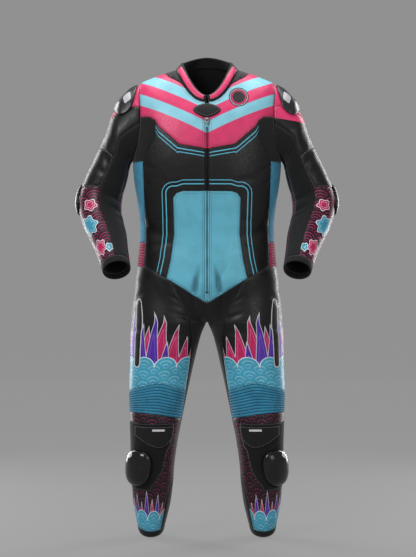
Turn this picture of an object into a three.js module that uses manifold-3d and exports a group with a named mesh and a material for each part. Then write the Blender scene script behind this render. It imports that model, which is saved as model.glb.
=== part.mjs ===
// One-piece motorcycle race suit of leather and stretch textile, filled out with no wearer.
// The suit stands as worn: legs a little apart, arms hanging, elbows and knees pre-curved.
// Millimetres, +Z up, the front faces -Y and the wearer's left is +X.
// The origin is the middle of the neck base, between the shoulders that carry the suit.
import * as THREE from 'three';
import { mergeVertices } from 'three/addons/utils/BufferGeometryUtils.js';
import Module from 'manifold-3d';

const wasm = await Module();
wasm.setup();

// Driving sizes
const WALL = 2; // leather or stretch cloth with its lining
const SEAM_GAP = 0.4; // between two cut pieces
const LIFT = 0.6; // between a piece and the overlay sewn on it
const ZIP_HALF = 6; // half of the strip that the main zip takes
const SEAT = -612; // height where the torso starts to part into legs
const CROTCH = -738; // height where the legs are apart
const HEM = -1354; // height of the ankle hem at its side
const COLUMNS = 12; // panel columns round half of the torso, and round a leg

const COLOURS = {
  black: { color: 0x1b1b1c, roughness: 0.45 },
  stretch: { color: 0x141415, roughness: 0.8 },
  pink: { color: 0xe0487c, roughness: 0.45 },
  blue: { color: 0x6fb6cc, roughness: 0.45 },
  mesh: { color: 0x4c9cc0, roughness: 0.7 },
  grey: { color: 0x3a3937, roughness: 0.75 },
  print: { color: 0x3b1430, roughness: 0.5 },
  hard: { color: 0x26282a, roughness: 0.3 },
  metal: { color: 0xb9bcc0, roughness: 0.3, metalness: 1 },
};

// Rings of the torso, from the seat to the neck: heights at the front, side and back,
// half of the width, how far the front and back stand from the side seam, and squareness.
const TORSO = [
  { zFront: -612, zSide: -612, zBack: -612, half: 211, front: 120, back: 146, square: 2.3 },
  { zFront: -560, zSide: -560, zBack: -560, half: 203, front: 119, back: 136, square: 2.3 },
  { zFront: -480, zSide: -480, zBack: -480, half: 198, front: 116, back: 113, square: 2.3 },
  { zFront: -400, zSide: -400, zBack: -400, half: 203, front: 126, back: 117, square: 2.35 },
  { zFront: -325, zSide: -325, zBack: -325, half: 214, front: 137, back: 128, square: 2.4 },
  { zFront: -262, zSide: -262, zBack: -262, half: 219, front: 142, back: 137, square: 2.45 },
  { zFront: -192, zSide: -175, zBack: -178, half: 219, front: 138, back: 143, square: 2.5 },
  { zFront: -147, zSide: -95, zBack: -105, half: 214, front: 129, back: 140, square: 2.5 },
  { zFront: -124, zSide: -38, zBack: -50, half: 198, front: 120, back: 126, square: 2.4 },
  { zFront: -109, zSide: -14, zBack: -6, half: 148, front: 112, back: 104, square: 2.3 },
  { zFront: -98, zSide: 5, zBack: 22, half: 93, front: 105, back: 82, square: 2.3 },
];

// Rings of one leg, from the crotch to the ankle: height, middle, half widths, how far the
// front and back stand from the middle, and how much the front of the ring hangs lower.
const LEG = [
  { z: -738, x: 113, y: 10, half: 111, front: 112, back: 118, dip: 0 },
  { z: -776, x: 122, y: 6, half: 104, front: 102, back: 108, dip: 0 },
  { z: -860, x: 133, y: 0, half: 94, front: 93, back: 95, dip: 0 },
  { z: -941, x: 143, y: -7, half: 86, front: 84, back: 86, dip: 0.02 },
  { z: -1023, x: 150, y: -14, half: 76, front: 77, back: 76, dip: 0.05 },
  { z: -1085, x: 155, y: -16, half: 69, front: 74, back: 68, dip: 0.1 },
  { z: -1148, x: 159, y: -10, half: 64, front: 69, back: 66, dip: 0.16 },
  { z: -1210, x: 161, y: 3, half: 61, front: 61, back: 67, dip: 0.22 },
  { z: -1270, x: 163, y: 19, half: 55, front: 54, back: 60, dip: 0.28 },
  { z: -1325, x: 165, y: 34, half: 44, front: 47, back: 50, dip: 0.38 },
  { z: -1354, x: 166, y: 44, half: 38, front: 42, back: 45, dip: 0.45 },
];

// Rings of one sleeve, along its length: middle, half widths, how far the outer side tips up
// and how far the front tips up, both in degrees. The first ring's loop is the armhole.
const SLEEVE = [
  { along: 60, x: 250, y: 2, z: -197, half: 80, deep: 82, tip: 72, pitch: 0 },
  { along: 112, x: 266, y: 5, z: -241, half: 62, deep: 79, tip: 54, pitch: 0 },
  { along: 160, x: 284, y: 8, z: -287, half: 58, deep: 74, tip: 33, pitch: 2 },
  { along: 222, x: 305, y: 8, z: -341, half: 62, deep: 69, tip: 14, pitch: 8 },
  { along: 270, x: 315, y: 1, z: -388, half: 64, deep: 65, tip: 2, pitch: 17 },
  { along: 335, x: 305, y: -26, z: -445, half: 60, deep: 60, tip: -6, pitch: 28 },
  { along: 390, x: 288, y: -58, z: -488, half: 54, deep: 54, tip: -10, pitch: 34 },
  { along: 450, x: 273, y: -97, z: -535, half: 46, deep: 48, tip: -12, pitch: 37 },
  { along: 515, x: 259, y: -137, z: -585, half: 41, deep: 43, tip: -12, pitch: 38 },
];
const CUFF = { from: 494, end: 515 };

// The armhole, as an ellipse in the torso's own turns and heights.
const ARMHOLE = { turn: 0.5, height: -149, turns: 0.165, heights: 113, power: 2.2 };

// The stand collar's top ring. Its bottom ring is the neck.
const COLLAR_TOP = { zFront: -78, zSide: 29, zBack: 52, half: 73, front: 97, back: 68, square: 1.85 };

// Widest creases that the worn shape takes: where they lie, half their reach, depth and slant.
const TORSO_FOLDS = [
  { turn: 0.12, height: -655, turns: 0.05, heights: 16, deep: 5, slant: 420 },
  { turn: 0.3, height: -470, turns: 0.12, heights: 20, deep: 4, slant: 120 },
  { turn: 0.72, height: -455, turns: 0.14, heights: 22, deep: 5, slant: -90 },
  { turn: 0.86, height: -700, turns: 0.09, heights: 22, deep: 6, slant: 160 },
  { turn: 0.8, height: -820, turns: 0.1, heights: 24, deep: 5, slant: -80 },
  { turn: 0.72, height: -1075, turns: 0.13, heights: 20, deep: 6, slant: 40 },
  { turn: 0.78, height: -1130, turns: 0.12, heights: 20, deep: 5, slant: -50 },
];
const SLEEVE_FOLDS = [
  { turn: 0.36, height: 262, turns: 0.11, heights: 17, deep: 6, slant: 110 },
  { turn: 0.42, height: 312, turns: 0.1, heights: 16, deep: 5, slant: -90 },
  { turn: 0.3, height: 168, turns: 0.1, heights: 22, deep: 4, slant: 160 },
  { turn: 0.62, height: 235, turns: 0.12, heights: 20, deep: 4, slant: 70 },
];

// Smooth value of one column of a table at a place along its key column.
function smooth(rows, keyColumn, column, at) {
  const rising = rows[0][keyColumn] < rows[rows.length - 1][keyColumn];
  const list = rising ? rows : [...rows].reverse();
  const last = list.length - 2;
  let i = list.findIndex((row, k) => k > 0 && at <= row[keyColumn]) - 1;
  if (i < 0) i = at <= list[0][keyColumn] ? 0 : last;
  const slope = (k) => {
    const before = list[Math.max(k - 1, 0)];
    const after = list[Math.min(k + 1, last + 1)];
    return (after[column] - before[column]) / (after[keyColumn] - before[keyColumn]);
  };
  const reach = list[i + 1][keyColumn] - list[i][keyColumn];
  const t = THREE.MathUtils.clamp((at - list[i][keyColumn]) / reach, 0, 1);
  const t2 = t * t;
  const t3 = t2 * t;
  return (2 * t3 - 3 * t2 + 1) * list[i][column] + (t3 - 2 * t2 + t) * reach * slope(i)
    + (3 * t2 - 2 * t3) * list[i + 1][column] + (t3 - t2) * reach * slope(i + 1);
}

// Value at x of a broken line through points [x, value].
function line(points) {
  return (x) => {
    const i = THREE.MathUtils.clamp(points.findIndex((p) => p[0] > x), 1, points.length - 1);
    const end = points[points.length - 1][0] <= x ? points.length - 1 : i;
    const [x0, y0] = points[end - 1];
    const [x1, y1] = points[end];
    return y0 + ((x - x0) / (x1 - x0)) * (y1 - y0);
  };
}

// A point of a torso ring at a turn from 0, the front, over 0.5, the side, to 1, the back.
function ringPoint(ring, turn) {
  const angle = Math.PI * turn;
  const across = Math.abs(Math.sin(angle)) ** (2 / ring.square) * Math.sign(Math.sin(angle));
  const along = Math.abs(Math.cos(angle)) ** (2 / ring.square);
  const front = Math.cos(angle) > 0;
  const end = front ? ring.zFront : ring.zBack;
  return new THREE.Vector3(
    ring.half * across,
    front ? -ring.front * along : ring.back * along,
    ring.zSide + (end - ring.zSide) * Math.cos(angle) ** 2,
  );
}

function torsoRing(height) {
  const column = (name) => smooth(TORSO, 'zSide', name, height);
  return {
    zFront: column('zFront'),
    zSide: height,
    zBack: column('zBack'),
    half: column('half'),
    front: column('front'),
    back: column('back'),
    square: column('square'),
  };
}

// A point of a leg ring at a turn from 0, the inseam, over 0.25, the front, and 0.5, the outside.
function legPoint(height, turn) {
  const column = (name) => smooth(LEG, 'z', name, Math.min(height, CROTCH));
  const angle = 2 * Math.PI * turn;
  const depth = Math.sin(angle) > 0 ? column('front') : column('back');
  const y = -depth * Math.sin(angle);
  return new THREE.Vector3(
    column('x') - column('half') * Math.cos(angle),
    column('y') + y,
    height + column('dip') * y,
  );
}

// How far a place sinks into the creases of a table.
function foldDepth(folds, turn, height) {
  return folds.reduce((sum, fold) => {
    const across = (turn - fold.turn) / fold.turns;
    const along = (height - fold.height - fold.slant * (turn - fold.turn)) / fold.heights;
    return sum + fold.deep * Math.exp(-across * across - along * along);
  }, 0);
}

// The smooth outside of the left half of the body. Above the crotch, turns past the middle of the
// front or back run on to the right half. Below it they run on round the leg.
function bodyShape(turn, height) {
  if (height <= CROTCH) return legPoint(height, turn - Math.floor(turn));
  const past = turn < 0 || turn > 1;
  const inside = turn < 0 ? -turn : past ? 2 - turn : turn;
  const point = ringPoint(torsoRing(Math.max(height, SEAT)), inside);
  if (height < SEAT) {
    const rise = (height - CROTCH) / (SEAT - CROTCH);
    // Between the legs the surface rounds under like a saddle. Elsewhere it runs on smoothly.
    const saddle = 1 - Math.sqrt(1 - (1 - rise) ** 2);
    const plain = 1 - THREE.MathUtils.smoothstep(rise, 0, 1);
    const aside = THREE.MathUtils.smoothstep(Math.min(inside, 1 - inside), 0, 0.2);
    point.setZ(height).lerp(legPoint(height, inside), saddle + (plain - saddle) * aside);
  }
  if (past) point.x = -point.x;
  return point;
}

// Outward direction of a surface at a place, taken over a short reach up and down.
function outward(surface, turn, height, reach = 4) {
  const dTurn = 1e-4;
  const across = surface(turn + dTurn, height).sub(surface(turn - dTurn, height));
  const up = surface(turn, height + reach).sub(surface(turn, height - reach));
  return across.cross(up).normalize();
}

function body(turn, height) {
  const deep = foldDepth(TORSO_FOLDS, turn, height);
  const point = bodyShape(turn, height);
  return deep > 0.05 ? point.addScaledVector(outward(bodyShape, turn, height), -deep) : point;
}

// The armhole's edge on the body, at a turn round the sleeve from 0, the shoulder,
// over 0.25, the front, and 0.5, the armpit.
function armholePoint(turn) {
  const angle = 2 * Math.PI * turn;
  const power = 2 / ARMHOLE.power;
  const round = (value) => Math.sign(value) * Math.abs(value) ** power;
  return bodyShape(
    ARMHOLE.turn - ARMHOLE.turns * round(Math.sin(angle)),
    ARMHOLE.height + ARMHOLE.heights * round(Math.cos(angle)),
  );
}

// Rings of the sleeve with their own directions: the side away from the body, and the front.
const sleeveRings = SLEEVE.map((ring) => {
  const tip = THREE.MathUtils.degToRad(ring.tip);
  const pitch = THREE.MathUtils.degToRad(ring.pitch);
  const front = new THREE.Vector3(0, -Math.cos(pitch), Math.sin(pitch));
  const side = new THREE.Vector3(Math.cos(tip), 0, Math.sin(tip));
  side.addScaledVector(front, -side.dot(front)).normalize();
  return { ...ring, front, side };
});

function sleeveRingPoint(ring, turn) {
  if (!ring) return armholePoint(turn);
  const angle = 2 * Math.PI * turn;
  return new THREE.Vector3(ring.x, ring.y, ring.z)
    .addScaledVector(ring.side, ring.half * Math.cos(angle))
    .addScaledVector(ring.front, ring.deep * Math.sin(angle));
}

function sleeveShape(turn, along) {
  const list = [null, ...sleeveRings].map((ring) => {
    const point = sleeveRingPoint(ring, turn);
    return { along: ring ? ring.along : 0, x: point.x, y: point.y, z: point.z };
  });
  return new THREE.Vector3(...['x', 'y', 'z'].map((axis) => smooth(list, 'along', axis, along)));
}

function sleeve(turn, along) {
  const deep = foldDepth(SLEEVE_FOLDS, turn - Math.floor(turn), along);
  const point = sleeveShape(turn, along);
  return deep > 0.05 ? point.addScaledVector(outward(sleeveShape, turn, along), -deep) : point;
}

// The collar's outside, at a turn as on the torso and a share of its height.
const COLLAR_BASE = 0.012; // how far up from the neck line the collar is sewn on
function collar(turn, share) {
  const neck = bodyShape(turn, TORSO[TORSO.length - 1].zSide);
  const flat = turn < 0 ? -turn : turn > 1 ? 2 - turn : turn;
  const top = ringPoint(COLLAR_TOP, flat);
  if (flat !== turn) top.x = -top.x;
  return neck.lerp(top, COLLAR_BASE).lerp(top, share);
}

// Steps from one value to another, in equal parts no longer than the step.
function steps(from, to, step) {
  const count = Math.max(1, Math.round(Math.abs(to - from) / step));
  return Array.from({ length: count + 1 }, (_, i) => from + ((to - from) * i) / count);
}

const SHOULDER = 0.53; // turn of the shoulder seam
const bodyColumns = (from, to) => steps(from, to, 1 / COLUMNS);
const torsoColumns = (from, to) => [...bodyColumns(from, to), SHOULDER, 2 - SHOULDER]
  .filter((turn) => turn >= from && turn <= to).sort((a, b) => a - b);
const ROWS_TORSO = [5, -5, -14, -38, -66, -95, -122, -149, -175, -204, -233, -262, -294, -325,
  -362, -400, -440, -480, -520, -560, -586, SEAT];
const ROWS_RISE = [24, 45, 66].map((degrees) => {
  const rise = 1 - Math.cos(THREE.MathUtils.degToRad(90 - degrees));
  return CROTCH + rise * (SEAT - CROTCH);
});
const ROWS_LEG = [CROTCH, -776, -818, -860, -900, -941, -982, -1023, -1054, -1085,
  -1116, -1148, -1179, -1210, -1250, -1290, -1325, HEM];
const BODY_ROWS = [...ROWS_TORSO, ...ROWS_RISE, ...ROWS_LEG];
const rowsBetween = (low, high) => BODY_ROWS.filter((row) => row >= low && row <= high);

const HALVINGS = 24; // in the search for the place where a seam crosses an edge
const CLOSE = 0.16; // share of an edge within which a corner counts as on the seam
// Cuts a flat mesh of places along a seam, keeping the side where the seam's value is positive.
function cut(flat, seam) {
  const values = flat.places.map((place) => seam(...place));
  const onSeam = (insidePlace, outsidePlace) => {
    let inside = insidePlace;
    let outside = outsidePlace;
    for (let i = 0; i < HALVINGS; i += 1) {
      const middle = [(inside[0] + outside[0]) / 2, (inside[1] + outside[1]) / 2];
      if (seam(...middle) > 0) inside = middle;
      else outside = middle;
    }
    return inside;
  };
  const share = (a, b) => values[a] / (values[a] - values[b]);
  // A corner that lies close to the seam moves onto it, which leaves no slivers.
  const nearest = new Map();
  const look = (a, b) => {
    if (values[a] * values[b] >= 0) return;
    for (const [p, q] of [[a, b], [b, a]]) {
      const near = share(p, q);
      if (near < CLOSE && near < (nearest.get(p)?.near ?? 1)) nearest.set(p, { near, q });
    }
  };
  for (const [a, b, c] of flat.triangles) {
    look(Math.min(a, b), Math.max(a, b));
    look(Math.min(b, c), Math.max(b, c));
    look(Math.min(a, c), Math.max(a, c));
  }
  const moved = new Map();
  for (const [p, { q }] of nearest) {
    moved.set(p, values[p] > 0
      ? onSeam(flat.places[p], flat.places[q])
      : onSeam(flat.places[q], flat.places[p]));
  }
  const places = flat.places.map((place, i) => moved.get(i) ?? place);
  for (const p of moved.keys()) values[p] = 0;

  const crossings = new Map();
  const crossing = (a, b) => {
    const key = `${Math.min(a, b)}:${Math.max(a, b)}`;
    if (!crossings.has(key)) {
      crossings.set(key, places.length);
      places.push(values[a] > 0 ? onSeam(places[a], places[b]) : onSeam(places[b], places[a]));
    }
    return crossings.get(key);
  };
  const triangles = [];
  for (const triangle of flat.triangles) {
    const kept = [];
    triangle.forEach((a, i) => {
      const b = triangle[(i + 1) % 3];
      if (values[a] >= 0) kept.push(a);
      if (values[a] * values[b] < 0) kept.push(crossing(a, b));
    });
    if (!triangle.some((a) => values[a] > 0)) continue;
    for (let i = 1; i + 1 < kept.length; i += 1) triangles.push([kept[0], kept[i], kept[i + 1]]);
  }
  return { places, triangles };
}

// Turns a flat mesh of places into a closed wall on a surface. The inside lies a wall's thickness
// in, and the edges stand back by half of the seam gap.
function wallOf(flat, surface, {
  thick = () => WALL, lift = 0, relief = () => 0, gap = SEAM_GAP, reach = 4,
} = {}) {
  const used = new Map();
  const points = [];
  const normals = [];
  const places = [];
  const drawn = new Set(flat.triangles.flat());
  const index = flat.places.map((place, i) => {
    if (!drawn.has(i)) return -1;
    const point = surface(...place);
    const key = point.toArray().map((v) => Math.round(v * 200)).join();
    if (!used.has(key)) {
      used.set(key, points.length);
      points.push(point);
      normals.push(outward(surface, ...place, reach));
      places.push(place);
    }
    return used.get(key);
  });
  const triangles = flat.triangles
    .map((triangle) => triangle.map((i) => index[i]))
    .filter(([a, b, c]) => a !== b && b !== c && c !== a);
  // The surface may run either way round, so the faces are turned to their outward side.
  const [a, b, c] = triangles[0].map((i) => points[i]);
  const facing = b.clone().sub(a).cross(c.clone().sub(a));
  const flip = facing.dot(normals[triangles[0][0]]) < 0;
  if (flip) triangles.forEach((triangle) => triangle.reverse());

  const edges = new Map();
  for (const [p, q, r] of triangles) {
    for (const [from, to] of [[p, q], [q, r], [r, p]]) edges.set(`${from}:${to}`, [from, to]);
  }
  const rim = [...edges.values()].filter(([from, to]) => !edges.has(`${to}:${from}`));
  const inward = new Map();
  for (const [from, to] of rim) {
    const side = points[to].clone().sub(points[from]);
    const step = normals[from].clone().add(normals[to]).cross(side).normalize();
    for (const i of [from, to]) inward.set(i, [...(inward.get(i) ?? []), step]);
  }
  const shift = (i) => {
    const list = inward.get(i);
    if (!list) return new THREE.Vector3();
    const sum = list.reduce((total, step) => total.add(step), new THREE.Vector3());
    const spread = Math.max(sum.lengthSq() / list.length, 0.35);
    return sum.multiplyScalar(gap / 2 / spread);
  };
  const outer = points.map((point, i) => point.clone().add(shift(i))
    .addScaledVector(normals[i], lift + (lift ? thick(...places[i]) : 0) + relief(...places[i])));
  const inner = points.map((point, i) => point.clone().add(shift(i))
    .addScaledVector(normals[i], lift || -thick(...places[i])));
  const n = points.length;
  const faces = [
    ...triangles,
    ...triangles.map(([p, q, r]) => [n + p, n + r, n + q]),
    ...rim.flatMap(([from, to]) => [[to, from, n + from], [to, n + from, n + to]]),
  ];
  const numbers = [...outer, ...inner].flatMap((p) => p.toArray());
  return new THREE.BufferGeometry()
    .setAttribute('position', new THREE.Float32BufferAttribute(numbers, 3))
    .setIndex(faces.flat());
}

// A flat mesh of places over columns and rows.
function grid(columns, rows) {
  const places = rows.flatMap((height) => columns.map((turn) => [turn, height]));
  const triangles = [];
  for (let r = 0; r + 1 < rows.length; r += 1) {
    for (let c = 0; c + 1 < columns.length; c += 1) {
      const a = r * columns.length + c;
      const d = a + columns.length;
      // The right half of the torso is the left half's mirror image, its diagonals too.
      if (columns[c] >= 1 && rows[r + 1] >= CROTCH) triangles.push([a, a + 1, d], [a + 1, d + 1, d]);
      else triangles.push([a, a + 1, d + 1], [a, d + 1, d]);
    }
  }
  return { places, triangles };
}

function panel(surface, columns, rows, seams, options) {
  const flat = seams.reduce((mesh, seam) => cut(mesh, seam), grid(columns, rows));
  return wallOf(flat, surface, options);
}

const suit = new THREE.Group();
const pullTab = new THREE.Group();
const materials = Object.fromEntries(Object.entries(COLOURS)
  .map(([name, look]) => [name, new THREE.MeshStandardMaterial({ metalness: 0, ...look })]));

function add(name, geometry, material, group = suit) {
  const mesh = new THREE.Mesh(geometry, materials[material]);
  mesh.name = name;
  group.add(mesh);
}

function mirrored(geometry) {
  const copy = geometry.clone().scale(-1, 1, 1);
  const index = copy.getIndex().array;
  for (let i = 0; i < index.length; i += 3) [index[i], index[i + 1]] = [index[i + 1], index[i]];
  return copy;
}

function pair(name, geometry, material) {
  add(`${name}_left`, geometry, material);
  add(`${name}_right`, mirrored(geometry), material);
}

// Seams of the front, read off its front view: height at a distance from the zip, or
// distance from the zip at a height.
const yokeEdge = line([[0, -236], [80, -222], [140, -170], [150, -152], [164, -142], [182, -140],
  [230, -140]]);
const hipEdge = line([[0, -682], [118, -608], [160, -586], [192, -574], [214, -571], [260, -571]]);
const bellyTop = line([[0, -358], [70, -358], [88, -364], [98, -378], [112, -410]]);
const bellySide = line([[-700, 140], [-604, 116], [-550, 104], [-482, 95], [-420, 96], [-350, 98]]);
const armEdge = line([[-290, 187], [-258, 180], [-230, 168], [-209, 156], [-182, 150], [-130, 150]]);
const sideFront = line([[-610, 187], [-500, 182], [-400, 183], [-262, 187]]);
const crotchEdge = line([[-800, 43], [-790, 42], [-725, 50], [-690, 66], [-655, 88], [-612, 112],
  [-590, 124]]);

// Seams by their turn at a height
const frontInner = line([[-1360, 0.13], [-1250, 0.115], [-1215, 0.08], [-1180, 0], [-1080, 0],
  [-1016, 0.03], [-946, 0.055], [-889, 0.07], [-790, 0.102]]);
const backInner = line([[-1360, 0.13], [-1250, 0.115], [-1215, 0.08], [-1180, 0], [-1080, 0],
  [-960, -1 / 12], [-700, -1 / 12]]);
const sideBack = line([[-600, 0.64], [-400, 0.64], [-330, 0.62], [-285, 0.56], [-264, 0.5], [-60, 0.5],
  [-40, 0.53], [10, 0.53]]);

// Seams by their height at a turn
const gussetEdge = line([[0.2, 9], [0.27, 3.5], [0.36, -3.5], [0.5, -6], [0.64, -3.5], [0.74, 3.5],
  [0.8, 9]]);
const perColumn = (heights) => line(heights.map((height, i) => [i / COLUMNS, height]));
const kneeTop = perColumn([-946, -936, -925, -915, -924, -934, -944]);
const kneeBottom = perColumn([-1020, -1014, -1007, -1000, -997, -998, -1002]);
const waistBack = line([[0.5, -571], [0.75, -586], [1, -600]]);
const seatEdge = line([[0.5, -690], [0.6, -740], [0.75, -785], [0.9, -795], [1, -800]]);
const kneeBack = line([[0.5, -955], [0.7, -938], [0.9, -955]]);
const WAIST_TOP = -504;
const UNDERARM = -270;
const ANKLE = -1337;
const BACK_INNER = 11 / 12;
const AROUND_LEG = 400; // millimetres that one turn of a leg is taken as, where a seam is weighed by it

// Ribs of the stretch pieces
const RIBS = { waist: 6, knee: 8, raised: 2.4 };

// Seams over the sleeve: place along it at a turn, and turn at a place along it
const shoulderEdge = line([[-0.18, 1], [-0.1, 48], [-0.05, 72], [0, 84], [0.05, 70], [0.1, 46], [0.18, 1]]);
const crossEdge = line([[-0.25, 126], [0, 138], [0.27, 125]]);
const elbowEdge = line([[-0.25, 236], [0, 240], [0.27, 234]]);
const SLEEVE_FRONT = 0.25;
const SLEEVE_BACK = 7 / 16;

const at = bodyShape;
const mirrorTurn = (turn) => (turn > 1 ? 2 - turn : turn);
const not = (seam) => (turn, height) => -seam(turn, height);
const offZip = (turn, height) => at(turn, height).x - ZIP_HALF;
const outsideArmhole = (turn, height) => {
  const across = Math.abs((mirrorTurn(turn) - ARMHOLE.turn) / ARMHOLE.turns) ** ARMHOLE.power;
  return across + Math.abs((height - ARMHOLE.height) / ARMHOLE.heights) ** ARMHOLE.power - 1;
};
const overYoke = (turn, height) => at(turn, height).z - yokeEdge(at(turn, height).x);
const overHip = (turn, height) => at(turn, height).z - hipEdge(at(turn, height).x);
const insideArmEdge = (turn, height) => armEdge(at(turn, height).z) - at(turn, height).x;
const insideSide = (turn, height) => sideFront(height)
  - (mirrorTurn(turn) > 0.5 ? at(0.5, height).x : Math.abs(at(turn, height).x));
const behindSide = (turn, height) => mirrorTurn(turn) - sideBack(height);
const outsideBelly = (turn, height) => {
  const point = at(turn, height);
  return Math.max(point.z - bellyTop(point.x), point.x - bellySide(point.z));
};
const underGusset = (turn, height) => gussetEdge(mirrorTurn(turn)) - height;
const underarm = (turn, height) => height - UNDERARM;
const waistTop = (turn, height) => height - WAIST_TOP;
const outsideInner = (turn, height) => (height > -800
  ? at(turn, height).x - crotchEdge(height)
  : (turn - frontInner(height)) * AROUND_LEG);
const insideBackInner = (turn, height) => (1 + backInner(height) - turn) * AROUND_LEG;

// Joins two flat meshes at the places that they share.
function join(a, b) {
  const places = [...a.places];
  const index = b.places.map(([turn, height]) => {
    const same = a.places.findIndex((p) => Math.abs(p[0] - turn) < 1e-6 && Math.abs(p[1] - height) < 1e-6);
    if (same < 0) places.push([turn, height]);
    return same < 0 ? places.length - 1 : same;
  });
  return { places, triangles: [...a.triangles, ...b.triangles.map((t) => t.map((i) => index[i]))] };
}
const cutAll = (flat, seams) => seams.reduce((mesh, seam) => cut(mesh, seam), flat);

// Front of the torso
const front = torsoColumns(0, 0.5);
pair('chest_yoke', panel(body, torsoColumns(0, 2 / 3), rowsBetween(-262, 5),
  [underGusset, overYoke, outsideArmhole, offZip, not(behindSide)]), 'pink');
pair('armhole_stretch', panel(body, torsoColumns(0, 2 / 3), rowsBetween(-325, -95),
  [not(overYoke), not(insideArmEdge), outsideArmhole, underarm, not(behindSide)]), 'stretch');
pair('front_body', panel(body, front, rowsBetween(-700, -95),
  [not(overYoke), frontBodyEdge, overHip, outsideBelly, offZip]), 'black');
pair('belly', panel(body, front, rowsBetween(-700, -325), [overHip, not(outsideBelly), offZip]), 'blue');

function frontBodyEdge(turn, height) {
  return height > UNDERARM ? insideArmEdge(turn, height) : insideSide(turn, height);
}

// Sides and back of the torso
pair('side_panel', panel(body, torsoColumns(0.25, 0.75), rowsBetween(-520, -233),
  [not(behindSide), not(insideSide), not(underarm), waistTop], { gap: 1 }), 'mesh');
add('upper_back', panel(body, torsoColumns(1 / 3, 5 / 3), rowsBetween(-520, 5),
  [underGusset, behindSide, outsideArmhole, waistTop]), 'black');

// The ribbed stretch round the waist, from one front seam over the back to the other
const waistEdge = (turn) => {
  const side = mirrorTurn(turn);
  return side < 0.5 ? hipEdge(bodyShape(side, -575).x) : waistBack(side);
};
const waistHeight = (turn, rib) => waistEdge(turn) + ((WAIST_TOP - waistEdge(turn)) * rib) / RIBS.waist;
const waistSurface = (turn, rib) => body(turn, waistHeight(turn, rib));
const ribRelief = (turn, rib) => RIBS.raised * (1 - Math.abs(2 * (rib - Math.floor(rib)) - 1));
const ribRows = (count) => steps(0, count, 0.5);
add('waist_stretch', panel(waistSurface, torsoColumns(0.25, 1.75), ribRows(RIBS.waist), [
  (turn, rib) => -insideSide(turn, waistHeight(turn, rib)),
], { relief: ribRelief, gap: 1.6, reach: 0.2 }), 'pink');

// Seat and legs
const seatFlat = join(
  grid(bodyColumns(0.5, 1), rowsBetween(CROTCH, -560)),
  grid(bodyColumns(0.5, BACK_INNER), rowsBetween(-825, CROTCH)),
);
pair('seat', wallOf(cutAll(seatFlat, [
  (turn, height) => height - seatEdge(turn),
  (turn, height) => waistBack(turn) - height,
]), body), 'black');
pair('thigh_front', panel(body, front, rowsBetween(-982, -560),
  [not(overHip), outsideInner, (turn, height) => height - kneeTop(turn)]), 'black');
const innerFlat = join(
  grid(bodyColumns(0, 0.5), rowsBetween(CROTCH, -560)),
  grid(bodyColumns(-1 / 12, 0.25), rowsBetween(-1085, CROTCH)),
);
pair('thigh_inner', wallOf(cutAll(innerFlat, [
  not(overHip),
  not(outsideInner),
  (turn, height) => (height > CROTCH ? 1 : (turn - backInner(height)) * AROUND_LEG),
]), body), 'stretch');
pair('thigh_back', panel(body, bodyColumns(0.5, BACK_INNER), rowsBetween(-982, SEAT), [
  (turn, height) => seatEdge(turn) - height,
  (turn, height) => height - kneeBack(turn),
]), 'black');

const kneeHeight = (turn, rib) => kneeBottom(turn) + ((kneeTop(turn) - kneeBottom(turn)) * rib) / RIBS.knee;
pair('knee_accordion', panel((turn, rib) => body(turn, kneeHeight(turn, rib)), bodyColumns(0, 0.5),
  ribRows(RIBS.knee), [(turn, rib) => (turn - frontInner(kneeHeight(turn, rib))) * AROUND_LEG],
  { relief: ribRelief, gap: 1.2, reach: 0.2 }), 'blue');
pair('shin', panel(body, front, rowsBetween(HEM, -982), [
  (turn, height) => kneeBottom(turn) - height,
  (turn, height) => (turn - frontInner(height)) * AROUND_LEG,
  (turn, height) => height - ANKLE,
]), 'black');
pair('calf', panel(body, bodyColumns(0.5, 7 / 6), rowsBetween(HEM, -900), [
  (turn, height) => kneeBack(Math.min(turn, BACK_INNER)) - height,
  insideBackInner,
  (turn, height) => height - ANKLE,
]), 'stretch');
pair('ankle_cuff', panel(body, bodyColumns(0, 1), rowsBetween(HEM, -1325), [
  (turn, height) => ANKLE - height,
]), 'stretch');

// What lies over the shin: a hook-and-loop panel, the knee slider on it and the tab above
const kneeSide = line([[-1240, 168], [-1214, 160], [-1204, 150], [-1165, 129], [-1111, 117], [-1076, 96],
  [-1032, 93]]);
const SLIDER = {
  turn: 0.366, height: -1152, turns: 0.108, heights: 52, power: 2.6, lean: 0.0004, edge: 5, middle: 24,
};
const TAB = { thick: 3, inner: 92, outer: 207 };
const PANEL_THICK = 1.5;
const tabBottom = line([[90, -1051], [113, -1084], [137, -1100], [174, -1089], [206, -1066], [230, -1060]]);
const PANEL_BACK = 0.475;
const fineColumns = (from, to) => steps(from, to, 1 / 24);
// A hard or padded piece is thickest in its middle and steep at its edge.
const DOME = 0.6;
const domed = (piece, share) => (...place) => piece.edge
  + (piece.middle - piece.edge) * (1 - Math.min(share(...place), 1)) ** DOME;
pair('knee_panel', panel(body, fineColumns(0.125, 0.5), steps(-1215, -1026, 31.5), [
  (turn, height) => at(turn, height).x - kneeSide(at(turn, height).z),
  (turn, height) => PANEL_BACK - turn,
], { thick: () => PANEL_THICK, lift: LIFT, gap: 0 }), 'stretch');
const sliderShare = (turn, height) => {
  const across = Math.abs((turn - SLIDER.turn + (height - SLIDER.height) * SLIDER.lean) / SLIDER.turns);
  return across ** SLIDER.power + Math.abs((height - SLIDER.height) / SLIDER.heights) ** SLIDER.power;
};
pair('knee_slider', panel(body, steps(0.24, 0.49, 0.0313), steps(-1208, -1096, 14), [
  (turn, height) => 1 - sliderShare(turn, height),
], {
  thick: domed(SLIDER, sliderShare),
  lift: 2 * LIFT + PANEL_THICK,
  gap: 0,
}), 'hard');
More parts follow.
